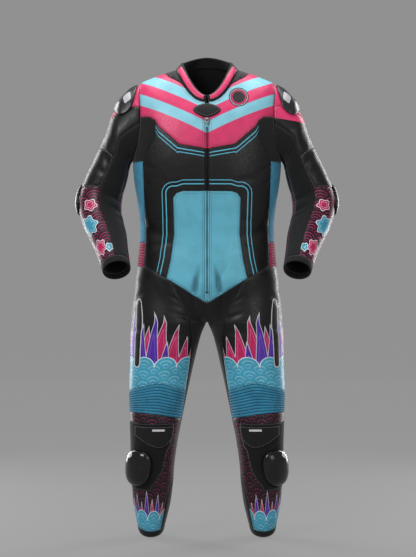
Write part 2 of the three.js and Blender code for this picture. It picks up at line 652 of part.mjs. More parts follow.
pair('knee_tab', panel(body, fineColumns(0.125, 0.5), steps(-1110, -1034, 19), [
  (turn, height) => at(turn, height).z - tabBottom(at(turn, height).x),
  (turn, height) => at(turn, height).x - TAB.inner,
  (turn, height) => TAB.outer - at(turn, height).x,
], { thick: () => TAB.thick, lift: 2 * LIFT + PANEL_THICK, gap: 0 }), 'stretch');

// Collar with its padded front inlays, and the stretch at the sides of the neck
const COLLAR_WALL = 4;
const INLAY = { edge: 2.5, pad: 2.5, corner: 1.2 };
const collarColumns = [0.006, ...bodyColumns(1 / 12, 23 / 12), 1.994];
add('collar', panel(collar, collarColumns, [0, 0.5, 1], [], {
  thick: () => COLLAR_WALL, reach: 0.05,
}), 'stretch');
pair('collar_inlay', panel(collar, steps(0.02, 0.4, 0.0475), [0.08, 0.3, 0.7, 0.92], [
  (turn, share) => INLAY.corner - share - turn,
], {
  thick: (turn, share) => INLAY.edge + INLAY.pad * Math.sin(Math.PI * share),
  lift: LIFT,
  gap: 0,
  reach: 0.05,
}), 'pink');
pair('neck_gusset', panel(body, torsoColumns(1 / 6, 5 / 6), [5, -5, -14], [not(underGusset)]), 'grey');

// Sleeves, from the shoulder down to the cuff
const SLEEVE_ROWS = [2.5, 22, 42, 60, 86, 112, 138, 160, 190, 222, 246, 270, 300, 335, 375, 420, 460,
  CUFF.from, CUFF.end];
const sleeveBetween = (from, to) => SLEEVE_ROWS.filter((row) => row >= from && row <= to);
const sleeveColumns = (from, to) => steps(from, to, 1 / 16);
const beyond = (edge) => (turn, along) => along - edge(turn);
const within = (edge) => (turn, along) => edge(turn) - along;
const outerPart = sleeveColumns(SLEEVE_BACK - 1, SLEEVE_FRONT);
pair('shoulder_panel', panel(sleeve, sleeveColumns(-0.1875, 0.1875), sleeveBetween(0, 112), [
  within(shoulderEdge),
]), 'pink');
pair('sleeve_upper', panel(sleeve, outerPart, sleeveBetween(0, 160), [
  beyond(shoulderEdge),
  within(crossEdge),
]), 'black');
pair('sleeve_middle', panel(sleeve, outerPart, sleeveBetween(112, 254), [
  beyond(crossEdge),
  within(elbowEdge),
]), 'black');
pair('forearm', panel(sleeve, outerPart, sleeveBetween(222, CUFF.from), [beyond(elbowEdge)]), 'print');
pair('sleeve_inner',
  panel(sleeve, sleeveColumns(SLEEVE_FRONT, SLEEVE_BACK), sleeveBetween(0, CUFF.from), []), 'stretch');
pair('cuff', panel(sleeve, sleeveColumns(0, 1), [CUFF.from, CUFF.end], []), 'stretch');

// Hard pieces of the sleeves
const CUP = { turns: 0.16, from: 4, to: 56, power: 2.4, edge: 3, middle: 12 };
const cupShare = (turn, along) => {
  const middle = (CUP.from + CUP.to) / 2;
  return Math.abs(turn / CUP.turns) ** CUP.power
    + Math.abs((along - middle) / (CUP.to - middle)) ** CUP.power;
};
pair('shoulder_cup', panel(sleeve, steps(-0.16, 0.16, 0.04), steps(3, 57, 9), [
  (turn, along) => 1 - cupShare(turn, along),
], {
  thick: domed(CUP, cupShare),
  lift: LIFT + 1,
  gap: 0,
}), 'hard');
const ELBOW = { turn: -0.03, turns: 0.075, along: 262, alongs: 36, power: 2.6, edge: 4, middle: 10 };
const elbowShare = (turn, along) => Math.abs((turn - ELBOW.turn) / ELBOW.turns) ** ELBOW.power
  + Math.abs((along - ELBOW.along) / ELBOW.alongs) ** ELBOW.power;
pair('elbow_slider', panel(sleeve, steps(-0.11, 0.05, 0.0267), steps(224, 300, 12.7), [
  (turn, along) => 1 - elbowShare(turn, along),
], {
  thick: domed(ELBOW, elbowShare),
  lift: LIFT,
  gap: 0,
}), 'hard');

// Main zip: its tapes, with the raised row of teeth, over real distances from the middle
function centreBand(x, height) {
  let low = 0;
  let high = 0.12;
  for (let i = 0; i < 2 * HALVINGS; i += 1) {
    const turn = (low + high) / 2;
    if (bodyShape(turn, height).x > Math.abs(x)) high = turn;
    else low = turn;
  }
  const point = bodyShape(low, height);
  return point.setX(x);
}
const ZIP = { half: 5.6, teeth: 2.2, raised: 1.2, top: -22, bottom: -677, end: -646 };
const zipColumns = [-ZIP.half, -ZIP.teeth - 0.6, -ZIP.teeth, ZIP.teeth, ZIP.teeth + 0.6, ZIP.half];
const zipRows = [ZIP.top, -38, -66, -95, -122, -149, -175, -204, -262, -325, -400, -480, -560, SEAT, ZIP.end,
  ZIP.end - 2, ZIP.bottom];
add('zip', panel(centreBand, zipColumns, zipRows, [], {
  relief: (x, height) => (Math.abs(x) <= ZIP.teeth && height >= ZIP.end && height < -95 ? ZIP.raised : 0),
  gap: 0,
}), 'stretch');
// The garage is a padded patch with pointed ends.
const GARAGE = { z: -125, half: 40, heights: 21, edge: 3.5, middle: 6.5, acrossPower: 1.35, upPower: 1.7 };
const garageShare = (x, height) => Math.abs(x / GARAGE.half) ** GARAGE.acrossPower
  + Math.abs((at(0, height).z - GARAGE.z) / GARAGE.heights) ** GARAGE.upPower;
add('zip_garage', panel(centreBand, steps(-GARAGE.half, GARAGE.half, 10), steps(-160, 5, 16.5), [
  (x, height) => 1 - garageShare(x, height),
], {
  thick: domed(GARAGE, garageShare),
  lift: LIFT,
  gap: 0,
}), 'grey');

// Zip slider on the teeth, just below the garage, and the pull that swings on its eye
const CHEST = { height: -109 };
const SLIDER_PLATE = { wide: 11, tall: 16, thick: 3, below: 2 };
const EYE = { hole: 2.2, outer: 4, thick: 3, sunk: 0.6 };
const PULL = {
  wide: 8, thick: 2, long: 14, corner: 3, tip: 4, slotFrom: 1, slotTo: 5.6, slotWide: 5, rest: 10,
};
const sliderPlace = at(0, CHEST.height);
const chestOut = outward(bodyShape, 0, CHEST.height);
const chestTilt = Math.atan2(-chestOut.z, -chestOut.y);
const plateBase = LIFT + ZIP.raised;
const eyeHeight = plateBase + SLIDER_PLATE.thick + EYE.outer - EYE.sunk;

function solid(geometry) {
  const bare = geometry.clone();
  bare.deleteAttribute('normal');
  bare.deleteAttribute('uv');
  const merged = mergeVertices(bare, 1e-4);
  return new wasm.Manifold(new wasm.Mesh({
    numProp: 3,
    vertProperties: new Float32Array(merged.getAttribute('position').array),
    triVerts: new Uint32Array(merged.getIndex().array),
  }));
}

function geometryOf(manifold) {
  const mesh = manifold.getMesh();
  return new THREE.BufferGeometry()
    .setAttribute('position', new THREE.BufferAttribute(mesh.vertProperties, 3))
    .setIndex(new THREE.BufferAttribute(mesh.triVerts, 1));
}

const fastener = new THREE.Group();
fastener.position.copy(sliderPlace);
fastener.rotation.x = chestTilt;
suit.add(fastener);
const eyeShape = new THREE.Shape().absarc(0, 0, EYE.outer, 0, 2 * Math.PI);
eyeShape.holes.push(new THREE.Path().absarc(0, 0, EYE.hole, 0, 2 * Math.PI, true));
const eye = new THREE.ExtrudeGeometry(eyeShape, { depth: EYE.thick, bevelEnabled: false, curveSegments: 12 })
  .translate(0, 0, -EYE.thick / 2)
  .rotateY(Math.PI / 2)
  .translate(0, -eyeHeight, 0);
const plate = new THREE.BoxGeometry(SLIDER_PLATE.wide, SLIDER_PLATE.thick, SLIDER_PLATE.tall)
  .translate(0, -(plateBase + SLIDER_PLATE.thick / 2), -SLIDER_PLATE.below);
add('zip_slider', geometryOf(solid(plate).add(solid(eye))), 'metal', fastener);

const pullOutline = new THREE.Shape();
const halfPull = PULL.wide / 2;
pullOutline.moveTo(-halfPull, PULL.thick / 2);
pullOutline.lineTo(halfPull, PULL.thick / 2);
pullOutline.lineTo(halfPull, -PULL.long + PULL.corner);
pullOutline.lineTo(PULL.tip / 2, -PULL.long);
pullOutline.lineTo(-PULL.tip / 2, -PULL.long);
pullOutline.lineTo(-halfPull, -PULL.long + PULL.corner);
pullOutline.closePath();
const slot = new THREE.Path();
const halfSlot = PULL.slotWide / 2;
slot.moveTo(-halfSlot, -PULL.slotFrom);
slot.lineTo(-halfSlot, -PULL.slotTo);
slot.lineTo(halfSlot, -PULL.slotTo);
slot.lineTo(halfSlot, -PULL.slotFrom);
slot.closePath();
pullOutline.holes.push(slot);
const pull = new THREE.ExtrudeGeometry(pullOutline, { depth: PULL.thick, bevelEnabled: false })
  .translate(0, 0, -PULL.thick / 2)
  .rotateX(Math.PI / 2)
  .rotateX(THREE.MathUtils.degToRad(PULL.rest));
pullTab.position.y = -eyeHeight;
fastener.add(pullTab);
add('zip_pull', pull, 'metal', pullTab);

export default suit;
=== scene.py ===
import math

import bmesh
import bpy
import numpy as np
from mathutils import Matrix, Vector
from mathutils.kdtree import KDTree


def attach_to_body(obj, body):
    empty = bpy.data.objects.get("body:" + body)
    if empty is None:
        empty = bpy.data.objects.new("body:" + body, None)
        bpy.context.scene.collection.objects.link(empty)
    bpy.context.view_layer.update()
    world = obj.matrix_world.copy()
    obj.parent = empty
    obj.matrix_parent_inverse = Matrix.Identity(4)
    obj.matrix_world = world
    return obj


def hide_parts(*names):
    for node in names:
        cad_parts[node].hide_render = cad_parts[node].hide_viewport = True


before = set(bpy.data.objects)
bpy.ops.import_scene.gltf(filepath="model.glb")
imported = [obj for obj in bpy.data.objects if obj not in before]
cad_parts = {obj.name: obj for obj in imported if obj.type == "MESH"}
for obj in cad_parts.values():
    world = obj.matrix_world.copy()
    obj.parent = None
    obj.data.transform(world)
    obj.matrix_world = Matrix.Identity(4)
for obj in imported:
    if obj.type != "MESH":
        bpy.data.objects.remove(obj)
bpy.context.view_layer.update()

bl_info = {
    "name": "Race suit",
    "version": (1, 0, 0),
    "blender": (4, 5, 0),
    "location": "3D View > Sidebar > Race suit",
    "description": "Dresses the solids of a one-piece leather race suit",
    "category": "Object",
}

MM = 0.001

# Sizes shared with the solids, in millimetres
ZIP_HALF = 6
SEAT = -612
CROTCH = -738
HEM = -1354
WAIST_TOP = -504
UNDERARM = -270
ANKLE = -1337
BACK_INNER = 11 / 12
LIFT = 0.6
BODY_WIDE = 530  # round half of the torso, or round a leg
SLEEVE_WIDE = 380
TURN_MM = 400  # rough, where only the sign of a distance round the leg counts
CROTCH_LINE_END = -800
FAR = 400.0  # a distance with no print near

# Height at the side, front and back, half width, reach to the front and back, squareness
TORSO = [
    (-612, -612, -612, 211, 120, 146, 2.3),
    (-560, -560, -560, 203, 119, 136, 2.3),
    (-480, -480, -480, 198, 116, 113, 2.3),
    (-400, -400, -400, 203, 126, 117, 2.35),
    (-325, -325, -325, 214, 137, 128, 2.4),
    (-262, -262, -262, 219, 142, 137, 2.45),
    (-175, -192, -178, 219, 138, 143, 2.5),
    (-95, -147, -105, 214, 129, 140, 2.5),
    (-38, -124, -50, 198, 120, 126, 2.4),
    (-14, -109, -6, 148, 112, 104, 2.3),
    (5, -98, 22, 93, 105, 82, 2.3),
]
# Height, middle across and back, half width, reach to the front and back, dip of the front
LEG = [
    (-738, 113, 10, 111, 112, 118, 0),
    (-776, 122, 6, 104, 102, 108, 0),
    (-860, 133, 0, 94, 93, 95, 0),
    (-941, 143, -7, 86, 84, 86, 0.02),
    (-1023, 150, -14, 76, 77, 76, 0.05),
    (-1085, 155, -16, 69, 74, 68, 0.1),
    (-1148, 159, -10, 64, 69, 66, 0.16),
    (-1210, 161, 3, 61, 61, 67, 0.22),
    (-1270, 163, 19, 55, 54, 60, 0.28),
    (-1325, 165, 34, 44, 47, 50, 0.38),
    (-1354, 166, 44, 38, 42, 45, 0.45),
]
# Place along the sleeve, middle, half widths, tip of the outer side and pitch of the front
SLEEVE = [
    (60, 250, 2, -197, 80, 82, 72, 0),
    (112, 266, 5, -241, 62, 79, 54, 0),
    (160, 284, 8, -287, 58, 74, 33, 2),
    (222, 305, 8, -341, 62, 69, 14, 8),
    (270, 315, 1, -388, 64, 65, 2, 17),
    (335, 305, -26, -445, 60, 60, -6, 28),
    (390, 288, -58, -488, 54, 54, -10, 34),
    (450, 273, -97, -535, 46, 48, -12, 37),
    (515, 259, -137, -585, 41, 43, -12, 38),
]
CUFF = (494, 515)
SLEEVE_FRONT = 0.25
SLEEVE_BACK = 7 / 16
ARMHOLE = {"turn": 0.5, "height": -149, "turns": 0.165, "heights": 113, "power": 2.2}
COLLAR_TOP = {"front_z": -78, "side_z": 29, "back_z": 52, "half": 73, "front": 97, "back": 68, "square": 1.85}
COLLAR_BASE = 0.012

# Widest creases: turn, height, reach round and up, depth, slant
BODY_FOLDS = [
    (0.12, -655, 0.05, 16, 5, 420),
    (0.3, -470, 0.12, 20, 4, 120),
    (0.72, -455, 0.14, 22, 5, -90),
    (0.86, -700, 0.09, 22, 6, 160),
    (0.8, -820, 0.1, 24, 5, -80),
    (0.72, -1075, 0.13, 20, 6, 40),
    (0.78, -1130, 0.12, 20, 5, -50),
]
SLEEVE_FOLDS = [
    (0.36, 262, 0.11, 17, 6, 110),
    (0.42, 312, 0.1, 16, 5, -90),
    (0.3, 168, 0.1, 22, 4, 160),
    (0.62, 235, 0.12, 20, 4, 70),
]
# Finer creases: from a turn and height to another, half reach, depth and bow
BODY_CREASES = [
    (0.37, -258, 0.2, -300, 9, 2.2, 8),
    (0.4, -300, 0.25, -352, 10, 1.8, -6),
    (0.02, -655, 0.1, -545, 8, 2.6, 5),
    (0.09, -660, 0.13, -585, 8, 1.8, -5),
    (0.024, -560, 0.071, -700, 8.5, 10.5, -3),
    (0.12, -505, 0.3, -525, 11, 1.8, 6),
    (0.1, -428, 0.28, -447, 13, 1.5, -6),
    (0.07, -338, 0.25, -320, 13, 1.3, 6),
    (0.03, -702, 0.2, -655, 9, 3, -6),
    (0.04, -738, 0.24, -706, 9, 3, -5),
    (0.07, -775, 0.27, -765, 10, 2.4, 5),
    (0.3, -650, 0.47, -700, 13, 2.2, 8),
    (0.33, -742, 0.48, -760, 12, 1.6, -6),
    (0.13, -832, 0.3, -850, 12, 1.4, 5),
    (0.33, -120, 0.31, -232, 6, 2.4, 8),
    (0.36, -135, 0.35, -245, 6, 1.8, -6),
    (0.62, -930, 0.88, -946, 8, 3.6, -6),
    (0.6, -985, 0.92, -1001, 8, 4.2, 6),
    (0.57, -1040, 0.86, -1034, 8, 3.8, -5),
    (0.62, -1090, 0.92, -1098, 8, 3.2, 5),
    (0.6, -1184, 0.86, -1166, 10, 2.4, 5),
    (0.1, -1226, 0.3, -1241, 9, 1.8, -5),
    (0.2, -1290, 0.45, -1300, 8, 1.8, 4),
    (0.6, -1302, 0.92, -1290, 8, 2.4, -4),
    (0.04, -1308, 0.2, -1318, 7, 1.5, 3),
    (0.78, -636, 0.97, -682, 13, 3, 8),
    (0.68, -745, 0.9, -792, 11, 3.4, -8),
    (0.62, -820, 0.88, -852, 10, 3, 6),
    (0.62, -300, 0.8, -342, 15, 3.4, 8),
    (0.99, -462, 0.7, -492, 11, 3.6, 6),
    (0.96, -508, 0.76, -530, 10, 3, -5),
    (0.66, -150, 0.74, -262, 13, 3.6, 8),
    (0.6, -190, 0.66, -330, 11, 3, -6),
    (0.97, -96, 0.74, -126, 13, 2.8, -6),
    (0.75, -400, 0.96, -416, 15, 2, -6),
    (0.6, -228, 0.72, -302, 13, 2.4, 6),
]
SLEEVE_CREASES = [
    (0.28, 224, 0.5, 241, 8, 3.8, 5),
    (0.3, 262, 0.52, 276, 8, 4.2, -5),
    (0.26, 300, 0.5, 313, 8, 3.4, 5),
    (0.3, 341, 0.52, 346, 8, 2.6, -4),
    (0.04, 104, 0.3, 168, 11, 2.6, 8),
    (0.08, 176, 0.32, 206, 10, 2.6, -6),
    (-0.16, 188, 0.1, 214, 11, 2, 5),
    (0.18, 60, 0.4, 38, 9, 2.2, 6),
    (0.2, 100, 0.44, 74, 10, 2.2, -6),
    (-0.2, 330, 0.02, 346, 11, 1.5, 5),
    (0.02, 402, 0.22, 412, 10, 1.4, -4),
    (0.1, 470, 0.42, 482, 7, 1.4, 3),
    (-0.4, 150, -0.2, 120, 11, 2.4, 6),
    (-0.45, 232, -0.22, 216, 10, 2.8, -5),
    (-0.46, 290, -0.26, 300, 10, 2.4, 5),
    (-0.42, 66, -0.24, 92, 11, 2.2, 6),
]


def linear(colour):
    """sRGB hex to the linear values that a shader takes."""
    parts = [int(colour[i:i + 2], 16) / 255 for i in (1, 3, 5)]
    return (*[c / 12.92 if c <= 0.04045 else ((c + 0.055) / 1.055) ** 2.4 for c in parts], 1.0)


# Surfaces of the worn suit, in millimetres

def hermite(keys, values, at):
    """Smooth value at places along the keys. Each place has its own column of values."""
    slopes = np.empty_like(values)
    slopes[1:-1] = (values[2:] - values[:-2]) / (keys[2:] - keys[:-2])[:, None]
    slopes[0] = (values[1] - values[0]) / (keys[1] - keys[0])
    slopes[-1] = (values[-1] - values[-2]) / (keys[-1] - keys[-2])
    i = np.clip(np.searchsorted(keys, at) - 1, 0, len(keys) - 2)
    reach = keys[i + 1] - keys[i]
    t = np.clip((at - keys[i]) / reach, 0, 1)
    column = np.arange(len(at)) if values.shape[1] > 1 else np.zeros(len(at), int)
    near = (2 * t ** 3 - 3 * t ** 2 + 1) * values[i, column]
    leaving = (t ** 3 - 2 * t ** 2 + t) * reach * slopes[i, column]
    far = (3 * t ** 2 - 2 * t ** 3) * values[i + 1, column]
    arriving = (t ** 3 - t ** 2) * reach * slopes[i + 1, column]
    return near + leaving + far + arriving


def smooth(table, at):
    """All columns of a table at places along its first column."""
    rows = np.array(sorted(table), float)
    return [hermite(rows[:, 0], rows[:, k:k + 1], at) for k in range(1, rows.shape[1])]


def line(*points):
    """A broken line through points, which runs on straight past its ends."""
    x, y = np.array(points, float).T

    def value(at):
        first = y[0] + (at - x[0]) * (y[1] - y[0]) / (x[1] - x[0])
        last = y[-1] + (at - x[-1]) * (y[-1] - y[-2]) / (x[-1] - x[-2])
        return np.where(at < x[0], first, np.where(at > x[-1], last, np.interp(at, x, y)))

    return value


def curve(*points):
    """A smooth line through points, level past its ends."""
    x, y = np.array(points, float).T
    return lambda at: hermite(x, y[:, None], np.clip(at, x[0], x[-1]))


def smoothstep(value, low=0.0, high=1.0):
    t = np.clip((value - low) / (high - low), 0, 1)
    return t * t * (3 - 2 * t)


def ring_point(ring, turn):
    """A place on a ring of the torso, from 0 at the front to 1 at the back."""
    side_z, front_z, back_z, half, front, back, square = ring
    sine, cosine = np.sin(math.pi * turn), np.cos(math.pi * turn)
    across = np.abs(sine) ** (2 / square) * np.sign(sine)
    along = np.abs(cosine) ** (2 / square)
    ahead = cosine > 0
    end = np.where(ahead, front_z, back_z)
    return np.stack((half * across, np.where(ahead, -front * along, back * along),
                     side_z + (end - side_z) * cosine ** 2), 1)


def leg_point(turn, height):
    """A place on a ring of the leg: 0 the inseam, 0.25 the front, 0.5 the outside."""
    x, y, half, front, back, dip = smooth(LEG, np.minimum(height, CROTCH))
    sine, cosine = np.sin(2 * math.pi * turn), np.cos(2 * math.pi * turn)
    away = -np.where(sine > 0, front, back) * sine
    return np.stack((x - half * cosine, y + away, height + dip * away), 1)


def body_shape(turn, height):
    leg = leg_point(turn, height)
    past = (turn < 0) | (turn > 1)
    inside = np.where(turn < 0, -turn, np.where(turn > 1, 2 - turn, turn))
    level = np.maximum(height, SEAT)
    torso = ring_point([level, *smooth(TORSO, level)], inside)
    torso[:, 2] = np.where(height < SEAT, height, torso[:, 2])
    rise = np.clip((height - CROTCH) / (SEAT - CROTCH), 0, 1)
    saddle = 1 - np.sqrt(1 - (1 - rise) ** 2)
    plain = 1 - smoothstep(rise)
    aside = smoothstep(np.minimum(inside, 1 - inside), 0, 0.2)
    share = np.where(height < SEAT, saddle + (plain - saddle) * aside, 0)[:, None]
    above = torso + (leg_point(inside, height) - torso) * share
    above[:, 0] = np.where(past, -above[:, 0], above[:, 0])
    return np.where((height <= CROTCH)[:, None], leg, above)


def outward(surface, turn, height, reach=4.0):
    """Outward direction of a surface, over a short reach up and down."""
    across = surface(turn + 1e-4, height) - surface(turn - 1e-4, height)
    up = surface(turn, height + reach) - surface(turn, height - reach)
    normal = np.cross(across, up)
    return normal / np.maximum(np.linalg.norm(normal, axis=1), 1e-12)[:, None]


def sunk(shape, folds, turn, height):
    """A shape with its widest creases."""
    around = turn - np.floor(turn) if shape is sleeve_shape else turn
    deep = np.zeros(len(turn))
    for at, level, turns, heights, depth, slant in folds:
        across = (around - at) / turns
        up = (height - level - slant * (around - at)) / heights
        deep += depth * np.exp(-across ** 2 - up ** 2)
    return shape(turn, height) - outward(shape, turn, height) * deep[:, None]


def body(turn, height):
    return sunk(body_shape, BODY_FOLDS, turn, height)


def sleeve_shape(turn, along):
    sine, cosine = np.sin(2 * math.pi * turn), np.cos(2 * math.pi * turn)
    power = 2 / ARMHOLE["power"]
    loop = body_shape(ARMHOLE["turn"] - ARMHOLE["turns"] * np.sign(sine) * np.abs(sine) ** power,
                      ARMHOLE["height"] + ARMHOLE["heights"] * np.sign(cosine) * np.abs(cosine) ** power)
    rings = [loop]
    for _, x, y, z, half, deep, tip, pitch in SLEEVE:
        tip, pitch = math.radians(tip), math.radians(pitch)
        front = Vector((0, -math.cos(pitch), math.sin(pitch)))
        side = Vector((math.cos(tip), 0, math.sin(tip)))
        side = (side - front * side.dot(front)).normalized()
        rings.append(np.array((x, y, z)) + np.outer(half * cosine, side) + np.outer(deep * sine, front))
    rings = np.array(rings)
    keys = np.array([0] + [row[0] for row in SLEEVE], float)
    return np.stack([hermite(keys, rings[:, :, axis], along) for axis in range(3)], 1)


def sleeve(turn, along):
    return sunk(sleeve_shape, SLEEVE_FOLDS, turn, along)


def collar(turn, share):
    neck = body_shape(turn, np.full(len(turn), 5.0))
    flat = np.where(turn < 0, -turn, np.where(turn > 1, 2 - turn, turn))
    ring = [COLLAR_TOP[k] for k in ("side_z", "front_z", "back_z", "half", "front", "back", "square")]
    top = ring_point(ring, flat)
    top[:, 0] = np.where(flat != turn, -top[:, 0], top[:, 0])
    base = neck + (top - neck) * COLLAR_BASE
    return base + (top - base) * share[:, None]


def centre_band(x, height):
    """A place beside the middle of the front, by its real distance from it."""
    low, high = np.zeros(len(x)), np.full(len(x), 0.12)
    for _ in range(30):
        turn = (low + high) / 2
        past = body_shape(turn, height)[:, 0] > np.abs(x)
        high = np.where(past, turn, high)
        low = np.where(past, low, turn)
    point = body_shape(low, height)
    point[:, 0] = x
    return point


# Seams: height at a distance from the zip, distance at a height, turn at a height

yoke_edge = line((0, -236), (80, -222), (140, -170), (150, -152), (164, -142), (182, -140), (230, -140))
hip_edge = line((0, -682), (118, -608), (160, -586), (192, -574), (214, -571), (260, -571))
belly_top = line((0, -358), (70, -358), (88, -364), (98, -378), (112, -410))
belly_side = line((-700, 140), (-604, 116), (-550, 104), (-482, 95), (-420, 96), (-350, 98))
arm_edge = line((-290, 187), (-258, 180), (-230, 168), (-209, 156), (-182, 150), (-130, 150))
side_front = line((-610, 187), (-500, 182), (-400, 183), (-262, 187))
crotch_edge = line((-800, 43), (-790, 42), (-725, 50), (-690, 66), (-655, 88), (-612, 112), (-590, 124))
front_inner = line((-1360, 0.13), (-1250, 0.115), (-1215, 0.08), (-1180, 0), (-1080, 0), (-1016, 0.03),
                   (-946, 0.055), (-889, 0.07), (-790, 0.102))
back_inner = line((-1360, 0.13), (-1250, 0.115), (-1215, 0.08), (-1180, 0), (-1080, 0), (-960, -1 / 12),
                  (-700, -1 / 12))
side_back = line((-600, 0.64), (-400, 0.64), (-330, 0.62), (-285, 0.56), (-264, 0.5), (-60, 0.5), (-40, 0.53),
                 (10, 0.53))
gusset_edge = line((0.2, 9), (0.27, 3.5), (0.36, -3.5), (0.5, -6), (0.64, -3.5), (0.74, 3.5), (0.8, 9))
knee_top = curve(*[(i / 12, z) for i, z in enumerate((-946, -936, -925, -915, -924, -934, -944))])
knee_bottom = curve(*[(i / 12, z) for i, z in enumerate((-1020, -1014, -1007, -1000, -997, -998, -1002))])
waist_back = line((0.5, -571), (0.75, -586), (1, -600))
seat_edge = line((0.5, -690), (0.6, -740), (0.75, -785), (0.9, -795), (1, -800))
knee_back = line((0.5, -955), (0.7, -938), (0.9, -955))
shoulder_edge = line((-0.18, 1), (-0.1, 48), (-0.05, 72), (0, 84), (0.05, 70), (0.1, 46), (0.18, 1))
cross_edge = line((-0.25, 126), (0, 138), (0.27, 125))
elbow_edge = line((-0.25, 236), (0, 240), (0.27, 234))
knee_side = line((-1240, 168), (-1214, 160), (-1204, 150), (-1165, 129), (-1111, 117), (-1076, 96),
                 (-1032, 93))
tab_bottom = curve((90, -1051), (113, -1084), (137, -1100), (174, -1089), (206, -1066), (230, -1060))


def folded(turn):
    return np.where(turn > 1, 2 - turn, turn)


def x_of(turn, height):
    return body_shape(turn, height)[:, 0]


def z_of(turn, height):
    return body_shape(turn, height)[:, 2]


def off_zip(turn, height):
    return x_of(turn, height) - ZIP_HALF


def outside_armhole(turn, height):
    across = np.abs((folded(turn) - ARMHOLE["turn"]) / ARMHOLE["turns"]) ** ARMHOLE["power"]
    return across + np.abs((height - ARMHOLE["height"]) / ARMHOLE["heights"]) ** ARMHOLE["power"] - 1


def over_yoke(turn, height):
    return z_of(turn, height) - yoke_edge(x_of(turn, height))


def over_hip(turn, height):
    return z_of(turn, height) - hip_edge(x_of(turn, height))


def inside_arm_edge(turn, height):
    return arm_edge(z_of(turn, height)) - x_of(turn, height)


def inside_side(turn, height):
    beside = x_of(np.full(len(turn), 0.5), height)
    return side_front(height) - np.where(folded(turn) > 0.5, beside, np.abs(x_of(turn, height)))


def behind_side(turn, height):
    return folded(turn) - side_back(height)


def outside_belly(turn, height):
    x, z = x_of(turn, height), z_of(turn, height)
    return np.maximum(z - belly_top(x), x - belly_side(z))


def under_gusset(turn, height):
    return gusset_edge(folded(turn)) - height


def off_inner(turn, height):
    return (turn - front_inner(height)) * TURN_MM


def outside_inner(turn, height):
    beside = x_of(turn, height) - crotch_edge(height)
    return np.where(height > CROTCH_LINE_END, beside, off_inner(turn, height))


def front_body_edge(turn, height):
    return np.where(height > UNDERARM, inside_arm_edge(turn, height), inside_side(turn, height))


def minus(seam):
    return lambda turn, height: -seam(turn, height)


# Prints: signed distances in millimetres, negative inside a shape

def shards(table, u, v, wide):
    """Straight pointed shards, each from its base to its tip."""
    nearest = np.full(len(u), FAR)
    for turn, base, tip, half in table:
        slope = (tip - base) / math.hypot(tip - base, half)
        width = half * (tip - v) / (tip - base)
        nearest = np.minimum(nearest, (np.abs(u - turn * wide) - width) * slope)
    return nearest


def fans(u, v, radius):
    """Distance from the middle of the fan that shows: rows of fans, each row over the one above."""
    found = np.full(len(u), -1.0)
    first = np.ceil((v - radius) / (radius / 2))
    for step in range(5):
        row = first + step
        shift = radius * np.mod(row, 2)
        centre = np.round((u - shift) / (2 * radius)) * 2 * radius + shift
        away = np.hypot(u - centre, v - row * radius / 2)
        found = np.where((found < 0) & (away < radius), away, found)
    return np.where(found < 0, radius, found)


def rosettes(table, u, v, wide):
    nearest = np.full(len(u), FAR)
    for turn, along, size, petals in table:
        across, up = u - turn * wide, v - along
        angle = np.arctan2(up, across)
        away = np.hypot(across, up) - size * (0.86 + 0.14 * np.cos(petals * angle + along))
        nearest = np.minimum(nearest, away)
    return nearest


def bar(x, z, middle, half):
    """A straight bar across a piece."""
    return np.maximum(np.abs(x - middle[0]) - half[0], np.abs(z - middle[1]) - half[1])


# Turn, height of the base and of the tip, half width
THIGH_VIOLET = [
    (0.49, -880, -724, 25), (0.425, -880, -700, 24), (0.36, -880, -738, 22), (0.3, -880, -706, 21),
    (0.235, -880, -790, 17),
]
THIGH_CRIMSON = [
    (0.455, -880, -752, 27), (0.392, -880, -722, 27), (0.33, -880, -748, 26), (0.262, -880, -718, 27),
    (0.2, -880, -742, 25), (0.14, -880, -776, 23), (0.09, -880, -800, 18),
]
SHIN_VIOLET = [
    (0.2, -1318, -1226, 17), (0.29, -1318, -1216, 17), (0.38, -1318, -1230, 17), (0.465, -1318, -1222, 16),
]
SHIN_CRIMSON = [
    (0.155, -1318, -1252, 16), (0.245, -1318, -1240, 16), (0.335, -1318, -1250, 16),
    (0.425, -1318, -1246, 16),
]
# Turn and place along the sleeve, size and petals
CYAN_ROSETTES = [
    (-0.02, 264, 27, 5), (0.1, 364, 34, 6), (-0.17, 400, 29, 5), (-0.36, 322, 28, 5), (-0.42, 440, 25, 6),
    (0.215, 462, 15, 5),
]
PINK_ROSETTES = [
    (0.175, 300, 22, 5), (0.12, 450, 28, 6), (-0.17, 308, 24, 6), (-0.3, 462, 23, 5), (-0.47, 372, 22, 5),
    (-0.06, 478, 18, 5),
]
WAVE = 30
SCALE = 30
SLEEVE_SCALE = 40


def leg_print(turn, height, violet, crimson, wave_top):
    u, v = turn * BODY_WIDE, height
    bumps = np.hypot(u - np.round(u / (2 * WAVE)) * 2 * WAVE, v - wave_top) - WAVE
    crest = np.minimum(bumps, v - wave_top)
    return {
        "violet": shards(violet, u, v, BODY_WIDE),
        "crimson": shards(crimson, u, v, BODY_WIDE),
        "cyan": crest,
        "wave": np.where(crest < 0, fans(u, v - wave_top, WAVE), 5),
        "scale": fans(u + 7, v, SCALE),
    }


def thigh_paint(turn, height, point):
    layers = leg_print(turn, height, THIGH_VIOLET, THIGH_CRIMSON, -868)
    across = (turn - STRIPE["turn"]) * BODY_WIDE
    beyond = np.maximum(np.abs(height - STRIPE["height"]) - STRIPE["half"], 0)
    layers["stripe"] = np.hypot(across, beyond) - STRIPE["radius"]
    return layers


def shin_paint(turn, height, point):
    return leg_print(turn, height, SHIN_VIOLET, SHIN_CRIMSON, -1306)


def forearm_paint(turn, height, point):
    u, v = turn * SLEEVE_WIDE, height
    return {
        "cyan": rosettes(CYAN_ROSETTES, u, v, SLEEVE_WIDE),
        "pink": rosettes(PINK_ROSETTES, u, v, SLEEVE_WIDE),
        "scale": fans(u, -v, SLEEVE_SCALE),
    }


